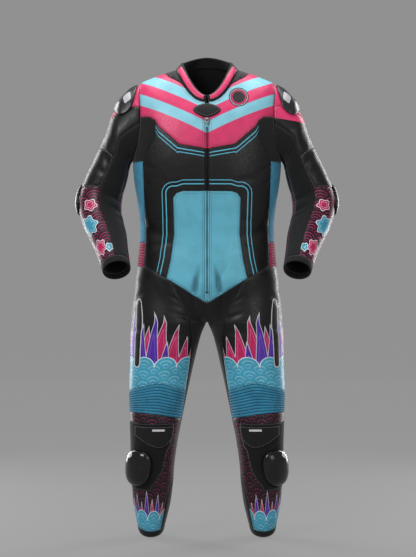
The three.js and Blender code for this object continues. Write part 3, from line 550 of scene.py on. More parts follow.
# Top and bottom of each band at the zip, and how the bands rise and bend to the side
BANDS = [(-88, -122), (-158, -192)]
RISE = {"slope": 0.52, "bend": 0.0004, "lean": 0.9}
PATCH = {"x": 92, "z": -84, "radius": 29}
STRIPE = {"turn": 0.388, "height": -768, "half": 88, "radius": 11}
# Half width of the tape between its two lines, at the belly and at the yoke, and a value away from them
TAPE = {"rim": 4.4, "fold": 3.6, "none": 9.0}
# Height of the pink's lower edge at a distance from the zip, on the wearer's left and right
wedge_left = line((215, -145), (255, -151))
wedge_right = line((-242, -112), (-142, -41))
# Middle and half size, in millimetres on the tab and in shares of the shoulder cup, whose silver and white
# are partly plates and partly painted highlights
TAB_BAR = ((141, -1049), (17, 3))
SILVER_AND_HIGHLIGHT_BAR = ((0.56, -0.3), (0.17, 0.27))
WHITE_AND_HIGHLIGHT_BAR = ((-0.2, 0.3), (0.34, 0.16))
# The knee slider's white spot, a painted highlight on its insert, and the elbow slider's pale plate, in
# shares
INSERT_HIGHLIGHT = {"across": 0.5, "half_wide": 0.3, "up": 0.72, "half_tall": 0.18}
PLATE_SHARE = 0.4
# Print distance for one share on each hard piece, which only has to be about right
CUP_MM = 25
INSERT_HIGHLIGHT_MM = 6
PLATE_MM = 12


def chest_paint(turn, height, point):
    x, z = np.abs(point[:, 0]), point[:, 2]
    level = (z - RISE["slope"] * x + RISE["bend"] * x * x) * RISE["lean"]
    half = RISE["lean"] / 2
    nearest = np.full(len(x), FAR)
    for top, bottom in BANDS:
        nearest = np.minimum(nearest, np.abs(level - half * (top + bottom)) - half * (top - bottom))
    patch = np.hypot(point[:, 0] - PATCH["x"], z - PATCH["z"]) - PATCH["radius"]
    return {"band": nearest, "patch": patch}


def front_paint(turn, height, point):
    x, z = np.abs(point[:, 0]), point[:, 2]
    beside, above = x - belly_side(z), z - belly_top(np.minimum(x, 88))
    round_corner = np.hypot(np.maximum(beside, 0), np.maximum(above, 0))
    belly = np.where((beside > 0) & (above > 0), round_corner, np.maximum(beside, above))
    return {"yoke": (yoke_edge(x) - z) * np.where(x < 80, 1, 0.8), "belly": belly}


def tape_paint(x, height, point):
    """Where the zip runs through the yoke and the blue belly, and the line along each side of it there."""
    low = point[:, 2] - belly_top(np.zeros(len(x)))
    high = yoke_edge(np.abs(x)) - point[:, 2]
    return {
        "belly": low,
        "rim": np.where(low < 0, np.abs(x) - TAPE["rim"], TAPE["none"]),
        "yoke": high,
        "band": chest_paint(x, height, point)["band"],
        "fold": np.where(high < 0, np.abs(x) - TAPE["fold"], TAPE["none"]),
    }


def wedge_paint(turn, along, point):
    """The pink below the cup, deeper on the wearer's left arm than on the right one."""
    x, z = point[:, 0], point[:, 2]
    return {"wedge": np.where(x > 0, wedge_left(x), wedge_right(x)) - z}


def rib_paint(count, tall):
    """How far a place is from the nearest gap between ribs, where the shade between ribs is painted."""
    def paint(turn, share, point):
        return {"rib": np.abs(share * count - np.round(share * count)) * tall / count}
    return paint


def tab_paint(turn, height, point):
    return {"bar": bar(np.abs(point[:, 0]), point[:, 2], *TAB_BAR)}


def slider_paint(turn, height, point):
    # Painted highlight: a white spot on the insert at the slider's upper outer edge
    across, up = slider_place(turn, height)
    beside = (across - INSERT_HIGHLIGHT["across"]) / INSERT_HIGHLIGHT["half_wide"]
    above = (up - INSERT_HIGHLIGHT["up"]) / INSERT_HIGHLIGHT["half_tall"]
    return {"inset": (np.hypot(beside, above) - 1) * INSERT_HIGHLIGHT_MM}


def cup_paint(turn, along, point):
    # Partly silver and white plates, partly painted highlights where light strikes the cup's facets
    across, up = cup_place(turn, along)
    return {"silver": bar(across, up, *SILVER_AND_HIGHLIGHT_BAR) * CUP_MM, "white": bar(across, up, *WHITE_AND_HIGHLIGHT_BAR) * CUP_MM}


def elbow_paint(turn, along, point):
    return {"plate": (elbow_share(turn, along) - PLATE_SHARE) * PLATE_MM}


# Making a piece of cloth

def lattice(turns, heights, across, up):
    """A flat mesh of places: turns one way and heights the other, with cells of about the sizes asked for."""
    bm = bmesh.new()
    half = ((turns[1] - turns[0]) / 2, (heights[1] - heights[0]) / 2)
    place = Matrix.Translation((turns[0] + half[0], heights[0] + half[1], 0)) @ Matrix.Diagonal((*half, 1, 1))
    bmesh.ops.create_grid(bm, x_segments=max(2, round(2 * half[0] / across)),
                          y_segments=max(2, round(2 * half[1] / up)), size=1, matrix=place)
    return bm


def ease_rise(bm):
    """Spread the rows between the legs evenly over the saddle."""
    for v in bm.verts:
        if CROTCH < v.co.y < SEAT:
            share = (v.co.y - CROTCH) / (SEAT - CROTCH)
            v.co.y = CROTCH + (1 - math.cos(share * math.pi / 2)) * (SEAT - CROTCH)


def places_of(verts):
    spots = np.array([v.co[:2] for v in verts])
    return spots[:, 0], spots[:, 1]


def cut(bm, seam):
    """Cut a flat mesh along a seam, where its value is nought, and keep the side where it is positive."""
    verts = list(bm.verts)
    value = dict(zip(verts, seam(*places_of(verts))))
    edges = [e for e in bm.edges if value[e.verts[0]] * value[e.verts[1]] < 0]
    if edges:
        kept = [e.verts[0] if value[e.verts[0]] > 0 else e.verts[1] for e in edges]
        lost = [e.other_vert(v) for e, v in zip(edges, kept)]
        near, far = np.array([v.co[:2] for v in kept]), np.array([v.co[:2] for v in lost])
        low, high = np.zeros(len(edges)), np.ones(len(edges))
        for _ in range(16):
            middle = (low + high) / 2
            spot = near + (far - near) * middle[:, None]
            good = seam(spot[:, 0], spot[:, 1]) > 0
            low, high = np.where(good, middle, low), np.where(good, high, middle)
        for e, v, w, share in zip(edges, kept, lost, low):
            if share < 0.15 and value[v] > 0:
                v.co = v.co.lerp(w.co, share)
                value[v] = 0
            elif share > 0.85 and value[w] < 0:
                w.co = v.co.lerp(w.co, share)
                value[w] = 0
        for e, v, w, share in zip(edges, kept, lost, low):
            if value[v] * value[w] < 0:
                spot = v.co.lerp(w.co, share)
                new = bmesh.utils.edge_split(e, v, share)[1]
                new.co = spot
                value[new] = 0
        bmesh.ops.connect_verts(bm, verts=[v for v in bm.verts if value[v] == 0], check_degenerate=True)
    gone = [f for f in bm.faces if min(value[v] for v in f.verts) < 0 or max(value[v] for v in f.verts) <= 0]
    bmesh.ops.delete(bm, geom=gone, context="FACES")
    return bm


def border(bm):
    """How far each vertex is from the nearest open edge, and how far along that edge."""
    runs = {}
    for start in bm.verts:
        if not start.is_boundary or start in runs:
            continue
        runs[start] = 0.0
        here = start
        while here:
            following = [e.other_vert(here) for e in here.link_edges if e.is_boundary]
            following = [v for v in following if v not in runs]
            if following:
                runs[following[0]] = runs[here] + (following[0].co - here.co).length
            here = following[0] if following else None
    edges = [e for e in bm.edges if e.is_boundary]
    if not edges:
        return np.full(len(bm.verts), 100.0), np.zeros(len(bm.verts))
    tree = KDTree(4 * len(edges))
    spots = []
    for e in edges:
        a, b = e.verts
        for k in range(4):
            tree.insert(a.co.lerp(b.co, k / 4), len(spots))
            spots.append(runs[a] + (runs[b] - runs[a]) * k / 4)
    tree.balance()
    found = [tree.find(v.co) for v in bm.verts]
    return np.array([f[2] for f in found]), np.array([spots[f[1]] for f in found])


def crease_depth(table, turn, height, wide, side):
    """Troughs with a low ridge along each side. The two sides of the suit crease a little differently."""
    deep = np.zeros(len(turn))
    for k, (turn_a, height_a, turn_b, height_b, reach, depth, bow) in enumerate(table):
        shift = 0 if side > 0 else 7 * math.sin(2.3 * k + 1)
        if side < 0:
            depth = depth * (0.8 + 0.3 * math.sin(1.7 * k))
        run = np.array(((turn_b - turn_a) * wide, height_b - height_a))
        x, y = (turn - turn_a) * wide, height - height_a - shift
        t = (x * run[0] + y * run[1]) / (run @ run)
        fade = np.clip(1 - (2 * t - 1) ** 2, 0, 1)
        away = ((x * run[1] - y * run[0]) / math.sqrt(run @ run) + bow * fade) / (reach * (0.7 + 0.6 * t))
        deep += depth * fade * (1 - 0.85 * away ** 2) * np.exp(-away ** 2)
    return deep


def sew(name, bm, surface, material, side=1, wide=BODY_WIDE, creases=(), relief=None, paint=None,
        reach=4.0, thick=2.0, roll=(1.2, 6), level=None, weld=False, lining="lining", lift=0.0):
    """Wrap a flat mesh on its surface, sink its seams and creases, and give it its wall."""
    verts = list(bm.verts)
    turn, height = places_of(verts)
    point = surface(turn, height)
    normal = outward(surface, turn, height, reach)
    for v, spot in zip(verts, point):
        v.co = spot
    edge, along = border(bm)
    real = level(turn, height) if level else height
    push = lift - roll[0] * (1 - np.clip(edge / roll[1], 0, 1)) ** 2
    trough = crease_depth(creases, turn, real, wide, side) * smoothstep(edge, 0, 10)
    push = push - trough
    if relief:
        push = push + relief(turn, height, edge)
    for v, spot in zip(verts, point + normal * push[:, None]):
        v.co = spot
        v.co.x *= side
    # The crease depth is kept too, for the shade painted into leather creases
    layers = {"edge": edge, "along": along, "sunk": trough}
    if paint:
        moved = point.copy()
        moved[:, 0] *= side
        layers.update(paint(turn, height, moved))
    bm.loops.layers.uv.new("wrap")
    for key in layers:
        bm.verts.layers.float.new(key)
    wrap = bm.loops.layers.uv["wrap"]
    verts = list(bm.verts)
    for key, values in layers.items():
        layer = bm.verts.layers.float[key]
        for v, value in zip(verts, values):
            v[layer] = value
    spots = {v: (t * wide * MM, h * MM) for v, t, h in zip(verts, turn, real)}
    for f in bm.faces:
        f.smooth = True
        for corner in f.loops:
            corner[wrap].uv = spots[corner.vert]
    bm.normal_update()
    face = bm.faces[:][len(bm.faces) // 2]
    facing = Vector(normal[verts.index(face.verts[0])])
    facing.x *= side
    if face.normal.dot(facing) < 0:
        bmesh.ops.reverse_faces(bm, faces=bm.faces)
    if weld:
        bmesh.ops.remove_doubles(bm, verts=bm.verts, dist=0.2)
    bmesh.ops.scale(bm, vec=(MM, MM, MM), verts=bm.verts)
    piece = finished(name, bm, [material] if lining is None else [material, lining])
    wall = piece.modifiers.new("Wall", "SOLIDIFY")
    wall.thickness = thick * MM
    wall.offset = -1
    if lining:
        wall.material_offset = 1
    return piece


def finished(name, bm, materials):
    mesh = bpy.data.meshes.new(name)
    bm.to_mesh(mesh)
    bm.free()
    piece = bpy.data.objects.new(name, mesh)
    bpy.context.scene.collection.objects.link(piece)
    for key in materials:
        mesh.materials.append(bpy.data.materials[key])
    return piece


def attach(piece, node, body_name="suit"):
    """A piece that stands for a solid of the same name."""
    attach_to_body(piece, body_name)
    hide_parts(node)
    return piece


def cloth(node, flat, surface, material, **options):
    """The sheet that stands for a solid, sewn from its flat mesh."""
    piece = sew(node + "_cloth", flat, surface, material, **options)
    attach(piece, node)


def both(base, make, surface, material, **options):
    """The same piece for the two sides of the suit."""
    for side, word in ((1, "left"), (-1, "right")):
        cloth(f"{base}_{word}", make(), surface, material, side=side, **options)


def cells(size, wide=BODY_WIDE):
    return size / wide, size


def shaped(turns, heights, cell, seams, wide=BODY_WIDE, rise=False):
    bm = lattice(turns, heights, *cells(cell, wide))
    if rise:
        ease_rise(bm)
    for seam in seams:
        cut(bm, seam)
    return bm


def joined(grids, seams):
    """Two flat meshes that share a row, as one, cut along its seams."""
    bm = bmesh.new()
    for turns, heights in grids:
        part = lattice(turns, heights, 1 / 96, 6)
        ease_rise(part)
        keep = bpy.data.meshes.new("part")
        part.to_mesh(keep)
        part.free()
        bm.from_mesh(keep)
        bpy.data.meshes.remove(keep)
    bmesh.ops.remove_doubles(bm, verts=bm.verts, dist=1e-4)
    for seam in seams:
        cut(bm, seam)
    return bm


def rib_relief(count, raised):
    """Rounded ribs over a share of the height, which die away at the piece's edges."""
    def relief(turn, share, edge):
        rib = np.abs(np.sin(math.pi * count * share)) ** 0.7
        return raised * (rib - 0.35) * smoothstep(edge, 0, 5)
    return relief


# Materials

def put(tree, kind, *inputs, out=0, sockets=None, **settings):
    """Add a node with its settings, its inputs in order or by name, and one output as the result."""
    made = tree.nodes.new("ShaderNode" + kind)
    for key, value in settings.items():
        setattr(made, key, value)
    given = list(zip(made.inputs, inputs))
    given += [(made.inputs[key], value) for key, value in (sockets or {}).items()]
    for socket, value in given:
        if isinstance(value, bpy.types.NodeSocket):
            tree.links.new(value, socket)
        elif value is not None:
            socket.default_value = value
    return made.outputs[out]


def surface_of(name, **sockets):
    """A material with one Principled shader, and its tree."""
    made = bpy.data.materials.new(name)
    made.use_nodes = True
    shader = made.node_tree.nodes["Principled BSDF"]
    for key, value in sockets.items():
        shader.inputs[key.replace("_", " ")].default_value = value
    return made.node_tree, shader


def ink(tone):
    """A colour from its hex value, or from its name in the sidebar."""
    return linear(tone) if tone[0] == "#" else tuple(getattr(bpy.context.scene.suit_colours, tone))


def printed(tree, colour, layers):
    """Flat print layers over a colour. Each is an attribute, a test, its value, its width and an ink."""
    for attribute, test, value, width, tone in layers:
        field = put(tree, "Attribute", out=2, attribute_name=attribute)
        if test == "FILL":
            share = put(tree, "Math", field, value, operation="LESS_THAN")
        elif test == "LINE":
            share = put(tree, "Math", field, value, width, operation="COMPARE")
        else:
            ringed = put(tree, "Math", field, value, operation="PINGPONG")
            share = put(tree, "Math", ringed, width, operation="LESS_THAN")
        colour = put(tree, "MixRGB", share, colour, ink(tone))
    return colour


def stitched(tree, colour, thread, rows):
    """Topstitching beside each seam: the colour with its thread, and the thread as a height."""
    edge = put(tree, "Attribute", out=2, attribute_name="edge")
    along = put(tree, "Attribute", out=2, attribute_name="along")
    dash = put(tree, "Math", put(tree, "Math", along, 4.0, operation="MODULO"), 3.1, operation="LESS_THAN")
    height = None
    for row in rows:
        band = put(tree, "Math", edge, row, 0.45, operation="COMPARE")
        mark = put(tree, "Math", band, dash, operation="MULTIPLY")
        height = put(tree, "Math", height, mark, operation="MAXIMUM") if height else mark
    return put(tree, "MixRGB", height, colour, ink(thread)), height


def relieved(tree, shader, *steps):
    """Bump from several heights, each with its strength and its depth in millimetres."""
    normal = None
    for height, strength, deep in steps:
        normal = put(tree, "Bump", sockets={"Height": height, "Strength": strength, "Distance": deep * MM,
                                            "Normal": normal})
    tree.links.new(normal, shader.inputs["Normal"])


def leather(name, base, layers=(), thread="#2A2A2D", rough=0.42, rows=(2.6, 7.0), holes=0.0, pale=0.07):
    """Cowhide with a drum-dyed and sealed face: fine pebbled grain, soft broken highlights, a little
    paler where its seams roll over. Grain of 1 mm is drawn at 3 mm, so that it shows."""
    tree, shader = surface_of(name, Roughness=rough, IOR=1.42, Coat_Weight=0.05, Coat_Roughness=0.3)
    at = put(tree, "TexCoord", out=3)
    grain = put(tree, "TexVoronoi", at, sockets={"Scale": 330.0}, feature="SMOOTH_F1")
    broad = put(tree, "TexNoise", at, sockets={"Scale": 24.0, "Detail": 5.0})
    fine = put(tree, "TexNoise", at, sockets={"Scale": 170.0, "Detail": 3.0})
    colour = printed(tree, ink(base), layers)
    shade = put(tree, "MapRange", broad, 0.4, 0.72, 0.0, 0.16)
    colour = put(tree, "MixRGB", shade, colour, ink("#0A0A0C"))
    edge = put(tree, "Attribute", out=2, attribute_name="edge")
    worn = put(tree, "MapRange", edge, 0.0, 3.0, pale, 0.0)
    colour = put(tree, "MixRGB", worn, colour, ink("#9A9AA0"))
    # Painted shade: the colour darkens with the depth of each crease, standing in for the shade in it
    trough = put(tree, "Attribute", out=2, attribute_name="sunk")
    crease_shade = put(tree, "MapRange", trough, 1.5, 8.0, 0.0, 0.55)
    colour = put(tree, "MixRGB", crease_shade, colour, ink("#081016"))
    skin = grain
    if holes:
        # Round holes of 1.5 mm, punched for cooling air, in straight rows
        wrap = put(tree, "UVMap", uv_map="wrap")
        cell = put(tree, "TexVoronoi", wrap, voronoi_dimensions="2D",
                   sockets={"Scale": 1000 / holes, "Randomness": 0.0})
        hole = put(tree, "Math", cell, 0.26, operation="LESS_THAN")
        dark = put(tree, "Math", hole, 0.85, operation="MULTIPLY")
        colour = printed(tree, put(tree, "MixRGB", dark, colour, ink("#020202")), layers)
        deep = put(tree, "Math", hole, 3.0, operation="MULTIPLY")
        punched = put(tree, "Math", deep, grain, operation="SUBTRACT")
        skin = put(tree, "Math", punched, -1.0, operation="MULTIPLY")
    colour, sewn = stitched(tree, colour, thread, rows)
    tree.links.new(colour, shader.inputs["Base Color"])
    matte = put(tree, "MapRange", fine, 0.3, 0.7, rough - 0.08, rough + 0.14)
    tree.links.new(matte, shader.inputs["Roughness"])
    relieved(tree, shader, (broad, 0.5, 3.0), (skin, 0.25, 0.7), (sewn, 0.6, 0.6))


def textile(name, base, thread, pitch, rough=0.85, sheen=0.15, layers=(), rows=(2.6,), across=0.0,
            seam="#2E2E32"):
    """Knitted or woven stretch cloth: matte, with fine rows of yarn that catch light at a low angle.
    Yarn rows of 0.6 mm are drawn at the pitch given, in millimetres, so that they show."""
    tree, shader = surface_of(name, Roughness=rough, Sheen_Weight=sheen, Sheen_Roughness=0.5, IOR=1.4)
    wrap = put(tree, "UVMap", uv_map="wrap")
    turned = put(tree, "Mapping", wrap, sockets={"Rotation": (0.0, 0.0, across)})
    scale = 100 * math.pi / pitch
    courses = put(tree, "TexWave", turned, sockets={"Scale": scale, "Distortion": 0.4}, bands_direction="X")
    wales = put(tree, "TexWave", turned, sockets={"Scale": scale, "Distortion": 0.4}, bands_direction="Y")
    weave = put(tree, "Math", courses, wales, operation="MULTIPLY")
    at = put(tree, "TexCoord", out=3)
    cloud = put(tree, "TexNoise", at, sockets={"Scale": 30.0, "Detail": 4.0})
    colour = printed(tree, put(tree, "MixRGB", weave, ink(base), ink(thread)), layers)
    shade = put(tree, "MapRange", cloud, 0.35, 0.7, 0.0, 0.25)
    colour = put(tree, "MixRGB", shade, colour, ink("#08080A"))
    sewn = None
    if rows:
        colour, sewn = stitched(tree, colour, seam, rows)
    tree.links.new(colour, shader.inputs["Base Color"])
    relieved(tree, shader, (cloud, 0.4, 2.0), (weave, 0.5, 0.6), *([(sewn, 0.5, 0.5)] if rows else []))


def moulded(name, base, rough, layers=(), metallic=0.0):
    """Injection-moulded thermoplastic or die-cast metal: hard and smooth, with faint scuffs
    that break its highlights."""
    tree, shader = surface_of(name, Roughness=rough, Metallic=metallic)
    at = put(tree, "TexCoord", out=3)
    scuff = put(tree, "TexNoise", at, sockets={"Scale": 60.0, "Detail": 5.0})
    flow = put(tree, "TexNoise", at, sockets={"Scale": 18.0, "Detail": 1.0})
    colour = printed(tree, ink(base), layers)
    scraped = put(tree, "MapRange", scuff, 0.55, 0.8, 0.0, 0.1)
    colour = put(tree, "MixRGB", scraped, colour, ink("#55555A"))
    tree.links.new(colour, shader.inputs["Base Color"])
    matte = put(tree, "MapRange", scuff, 0.35, 0.75, rough - 0.03, rough + 0.07)
    tree.links.new(matte, shader.inputs["Roughness"])
    relieved(tree, shader, (flow, 0.08, 1.0))


PALE = "#CFC8D2"
THIGH_LAYERS = [
    ("crimson", "FILL", 0, 0, "crimson"), ("crimson", "LINE", -6, 0.8, "#E25A92"),
    ("crimson", "LINE", 0, 0.9, PALE),
    ("violet", "FILL", 0, 0, "violet"), ("violet", "LINE", -7, 0.8, "#7C52C8"),
    ("violet", "LINE", 0, 0.9, PALE),
    ("cyan", "FILL", 0, 0, "cyan"), ("wave", "RINGS", 5, 0.9, "#A5DCEA"),
    ("cyan", "LINE", 0, 1.2, "#DCEFF4"),
]
STRIPE_LAYERS = [("stripe", "FILL", 0, 0, "#1A1A1D"), ("stripe", "LINE", 0, 1.5, "#DEDEE2")]
SHIN_LAYERS = [("scale", "RINGS", 5, 0.85, "#94245C"), *THIGH_LAYERS]
FOREARM_LAYERS = [
    ("scale", "RINGS", 5, 1.2, "#B42A66"),
    ("pink", "FILL", 0, 0, "crimson"), ("pink", "LINE", -8, 1.0, "#F3B9CB"),
    ("pink", "LINE", 0, 1.5, "#F1E6EC"),
    ("cyan", "FILL", 0, 0, "cyan"), ("cyan", "LINE", -9, 1.0, "#BFE6F0"),
    ("cyan", "LINE", 0, 1.5, "#EEF6F8"),
]
CHEST_LAYERS = [
    ("band", "FILL", 0, 0, "sky"), ("band", "LINE", 0, 0.7, "#B98AA6"),
    ("patch", "FILL", 0, 0, "#17161A"), ("patch", "LINE", -4, 1.1, "#B9A9B4"),
    ("patch", "LINE", -9, 2.0, "crimson"),
]
FRONT_LAYERS = [
    ("yoke", "LINE", 13, 1.6, "lines"), ("yoke", "LINE", 23, 1.2, "lines"),
    ("belly", "LINE", 21, 1.6, "lines"), ("belly", "LINE", 32, 1.2, "lines"),
]
PIPING = [("edge", "FILL", 3.2, 0, "#0C0C0D")]


# Pieces, each by its own operator

def sizes():
    return bpy.context.scene.suit_sizes


class SUIT_OT_finishes(bpy.types.Operator):
    """Make the leathers, textiles, plastics and metals of the suit"""
    bl_idname = "suit.finishes"
    bl_label = "Finishes"
    bl_options = {"REGISTER", "UNDO"}

    def execute(self, context):
        leather("leather_black", "black")
        leather("leather_black_pale_thread", "black", thread="#77777C", rows=(2.6,))
        leather("leather_chest_panel", "black", layers=FRONT_LAYERS, holes=6.0)
        leather("leather_pink_and_sky_bands", "pink", layers=CHEST_LAYERS, thread="#8A3A58")
        leather("leather_pink", "pink", thread="#8A3A58")
        leather("leather_black_over_pink", "black", layers=[("wedge", "FILL", 0, 0, "pink")])
        leather("leather_pink_piped", "pink", layers=PIPING, thread="#C23C6C", rows=(5.0,))
        leather("leather_blue_belly", "belly", thread="#2F6F86")
        leather("leather_printed_thigh", "black", layers=THIGH_LAYERS + STRIPE_LAYERS)
        leather("leather_printed_shin", "#150D12", layers=SHIN_LAYERS)
        leather("leather_printed_forearm", "#1E0B17", layers=FOREARM_LAYERS)
        textile("knit_black", "#09090A", "#161618", 4.0)
        textile("garage_cloth", "#161618", "#232326", 4.0, rows=(5.0,),
                layers=[("edge", "FILL", 2.4, 0, "#08080A"), ("edge", "LINE", 3.6, 0.45, "#6C6D72")])
        textile("knit_grey", "grey", "#3C3B3A", 4.0)
        # Painted shade: the gaps between ribs are printed dark, standing in for the shade between the ribs
        textile("knit_pink_ribbed", "rib_pink", "#E8608F", 4.0, rows=(),
                layers=[("rib", "FILL", 1.1, 0, "#3A0E1E")])
        textile("knit_blue_ribbed", "rib_blue", "#4FA4C6", 4.0, rows=(),
                layers=[("rib", "FILL", 0.9, 0, "#15506B")])
        textile("mesh_blue", "mesh_blue", "#6BBBD8", 5.0, across=math.pi / 4, sheen=0.1)
        textile("hook_tape_black", "#060607", "#161619", 4.0, rough=0.95, seam="#5A5A60")
        textile("tab_cloth", "#0B0B0C", "#1A1A1D", 4.0, seam="#6A6A70",
                layers=[("bar", "FILL", 0, 0, "#DADADC")])
        textile("lining", "#050506", "#101012", 5.0, across=math.pi / 4, rows=())
        textile("tape_polyester", "#0E0E10", "#1C1C1F", 3.0, rows=(),
                layers=[("yoke", "FILL", 0, 0, "pink"), ("band", "FILL", 0, 0, "sky"),
                        ("fold", "LINE", 0, 0.4, "#3A1523"), ("belly", "FILL", 0, 0, "belly"),
                        ("rim", "LINE", 0, 0.5, "#A9DCE8")])
        # The knee sliders' plastic, with a painted white highlight on the insert
        moulded("plastic_black", "plastic", 0.2, layers=[("inset", "FILL", 0, 0, "#D4D4D6")])
        # The shoulder cups' plastic: its silver and white are partly plates and partly painted highlights
        moulded("plastic_grey", "cup", 0.34, layers=[
            ("silver", "FILL", 0, 0, "#B9BBBE"), ("white", "FILL", 0, 0, "#D0D1D3")])
        moulded("plastic_black_with_plate", "plastic", 0.3, layers=[("plate", "FILL", 0, 0, "#B4B6B9")])
        moulded("zinc_black", "#232426", 0.4, metallic=1.0)
        moulded("zinc_nickel", "metal", 0.36, metallic=1.0)
        return {"FINISHED"}


class SUIT_OT_chest(bpy.types.Operator):
    """Chest yoke, front body, belly and the stretch round the armholes"""
    bl_idname = "suit.chest"
    bl_label = "Chest and belly"
    bl_options = {"REGISTER", "UNDO"}

    def execute(self, context):
        fine = sizes().print_cell / MM
        both("chest_yoke", lambda: shaped((0, 2 / 3), (-262, 5), fine, [
            under_gusset, over_yoke, outside_armhole, off_zip, minus(behind_side)]), body,
            "leather_pink_and_sky_bands", creases=BODY_CREASES, paint=chest_paint)
        both("armhole_stretch", lambda: shaped((0, 2 / 3), (-325, -95), 5, [
            minus(over_yoke), minus(inside_arm_edge), outside_armhole, lambda t, h: h - UNDERARM,
            minus(behind_side)]), body, "knit_black", creases=BODY_CREASES)
        both("front_body", lambda: shaped((0, 0.5), (-700, -95), 4.4, [
            minus(over_yoke), front_body_edge, over_hip, outside_belly, off_zip], rise=True), body,
            "leather_chest_panel", creases=BODY_CREASES, paint=front_paint)
        both("belly", lambda: shaped((0, 0.5), (-700, -325), 4.4, [
            over_hip, minus(outside_belly), off_zip], rise=True), body, "leather_blue_belly",
            creases=BODY_CREASES)
        return {"FINISHED"}


class SUIT_OT_back(bpy.types.Operator):
    """Side mesh, upper back, the ribbed stretch of the waist and the seat"""
    bl_idname = "suit.back"
    bl_label = "Sides, back and waist"
    bl_options = {"REGISTER", "UNDO"}

    def execute(self, context):
        cell, ribs = sizes().cell / MM, sizes().waist_ribs
        both("side_panel", lambda: shaped((0.25, 0.75), (-520, -233), cell, [
            minus(behind_side), minus(inside_side), lambda t, h: UNDERARM - h, lambda t, h: h - WAIST_TOP]),
            body, "mesh_blue", creases=BODY_CREASES)
        cloth("upper_back", shaped((1 / 3, 5 / 3), (-520, 5), cell, [
            under_gusset, behind_side, outside_armhole, lambda t, h: h - WAIST_TOP]), body, "leather_black",
            creases=BODY_CREASES)
        flat = lattice((0.25, 1.75), (0, 1), 6 / BODY_WIDE, 1 / (8 * ribs))
        cut(flat, lambda turn, share: -inside_side(turn, waist_height(turn, share)))
        cloth("waist_stretch", flat, waist, "knit_pink_ribbed", reach=0.02, level=waist_height,
              relief=rib_relief(ribs, RIB_RAISED), paint=rib_paint(ribs, WAIST_TALL), roll=(0.6, 3))
        both("seat", lambda: joined([((0.5, 1), (CROTCH, -558)), ((0.5, BACK_INNER), (-828, CROTCH))], [
            lambda t, h: h - seat_edge(t), lambda t, h: waist_back(t) - h]), body, "leather_black",
            creases=BODY_CREASES)
        return {"FINISHED"}


RIB_RAISED = 2.4
WAIST_TALL = 80  # millimetres of the ribbed waist, and of the ribbed knee
KNEE_TALL = 78


def waist_bottom(turn):
    side = folded(turn)
    front = hip_edge(body_shape(side, np.full(len(turn), -575.0))[:, 0])
    return np.where(side < 0.5, front, waist_back(side))


def waist_height(turn, share):
    return waist_bottom(turn) + (WAIST_TOP - waist_bottom(turn)) * share


def waist(turn, share):
    return body(turn, waist_height(turn, share))


def knee_height(turn, share):
    return knee_bottom(turn) + (knee_top(turn) - knee_bottom(turn)) * share


def knee(turn, share):
    return body(turn, knee_height(turn, share))


class SUIT_OT_legs(bpy.types.Operator):
    """Thighs, shins, calves and ankle cuffs"""
    bl_idname = "suit.legs"
    bl_label = "Legs"
    bl_options = {"REGISTER", "UNDO"}

    def execute(self, context):
        cell, fine = sizes().cell / MM, sizes().print_cell / MM
        both("thigh_front", lambda: shaped((0, 0.5), (-982, -560), fine, [
            minus(over_hip), outside_inner, lambda t, h: h - knee_top(t)], rise=True), body,
            "leather_printed_thigh", creases=BODY_CREASES, paint=thigh_paint)
        above, below = ((-1 / 96, 0.5), (CROTCH, -558)), ((-1 / 12, 0.25), (-1086, CROTCH))
        both("thigh_inner", lambda: joined([above, below], [
            minus(over_hip), minus(outside_inner),
            lambda t, h: np.where(h > CROTCH, 1, (t - back_inner(h)) * TURN_MM)]), body, "knit_black",
            creases=BODY_CREASES)
        both("thigh_back", lambda: shaped((0.5, BACK_INNER), (-982, -640), cell, [
            lambda t, h: seat_edge(t) - h, lambda t, h: h - knee_back(t)], rise=True), body, "leather_black",
            creases=BODY_CREASES)
        both("shin", lambda: shaped((0, 0.5), (HEM, -982), fine, [
            lambda t, h: knee_bottom(t) - h, off_inner, lambda t, h: h - ANKLE]), body,
            "leather_printed_shin", creases=BODY_CREASES, paint=shin_paint)
        both("calf", lambda: shaped((0.5, 7 / 6), (HEM, -900), cell, [
            lambda t, h: knee_back(np.minimum(t, BACK_INNER)) - h,
            lambda t, h: (1 + back_inner(h) - t) * TURN_MM, lambda t, h: h - ANKLE]), body, "knit_black",
            creases=BODY_CREASES)
        both("ankle_cuff", lambda: shaped((0, 1), (HEM, ANKLE), 4, []), body, "knit_black", weld=True,
             roll=(0.8, 4))
        return {"FINISHED"}


class SUIT_OT_knees(bpy.types.Operator):
    """Ribbed knee, the hook tape under the slider and the tab above it"""
    bl_idname = "suit.knees"
    bl_label = "Knees"
    bl_options = {"REGISTER", "UNDO"}

    def execute(self, context):
        ribs = sizes().knee_ribs

        def ribbed():
            flat = lattice((0, 0.5), (0, 1), 6 / BODY_WIDE, 1 / (8 * ribs))
            return cut(flat, lambda turn, share: off_inner(turn, knee_height(turn, share)))

        both("knee_accordion", ribbed, knee, "knit_blue_ribbed", reach=0.02, level=knee_height,
             relief=rib_relief(ribs, RIB_RAISED), paint=rib_paint(ribs, KNEE_TALL), roll=(0.6, 3))
        both("knee_panel", lambda: shaped((0.125, 0.5), (-1215, -1026), 5, [
            lambda t, h: x_of(t, h) - knee_side(z_of(t, h)), lambda t, h: PANEL["back"] - t]), body,
            "hook_tape_black", lift=LIFT + PANEL["thick"], thick=PANEL["thick"], roll=(0.5, 3), lining=None)
        both("knee_tab", lambda: shaped((0.125, 0.5), (-1110, -1034), 3, [
            lambda t, h: z_of(t, h) - tab_bottom(x_of(t, h)), lambda t, h: x_of(t, h) - TAB["inner"],
            lambda t, h: TAB["outer"] - x_of(t, h)]), body, "tab_cloth",
            lift=2 * LIFT + PANEL["thick"] + TAB["thick"], thick=TAB["thick"], roll=(1.2, 5), lining=None,
            paint=tab_paint)
        return {"FINISHED"}


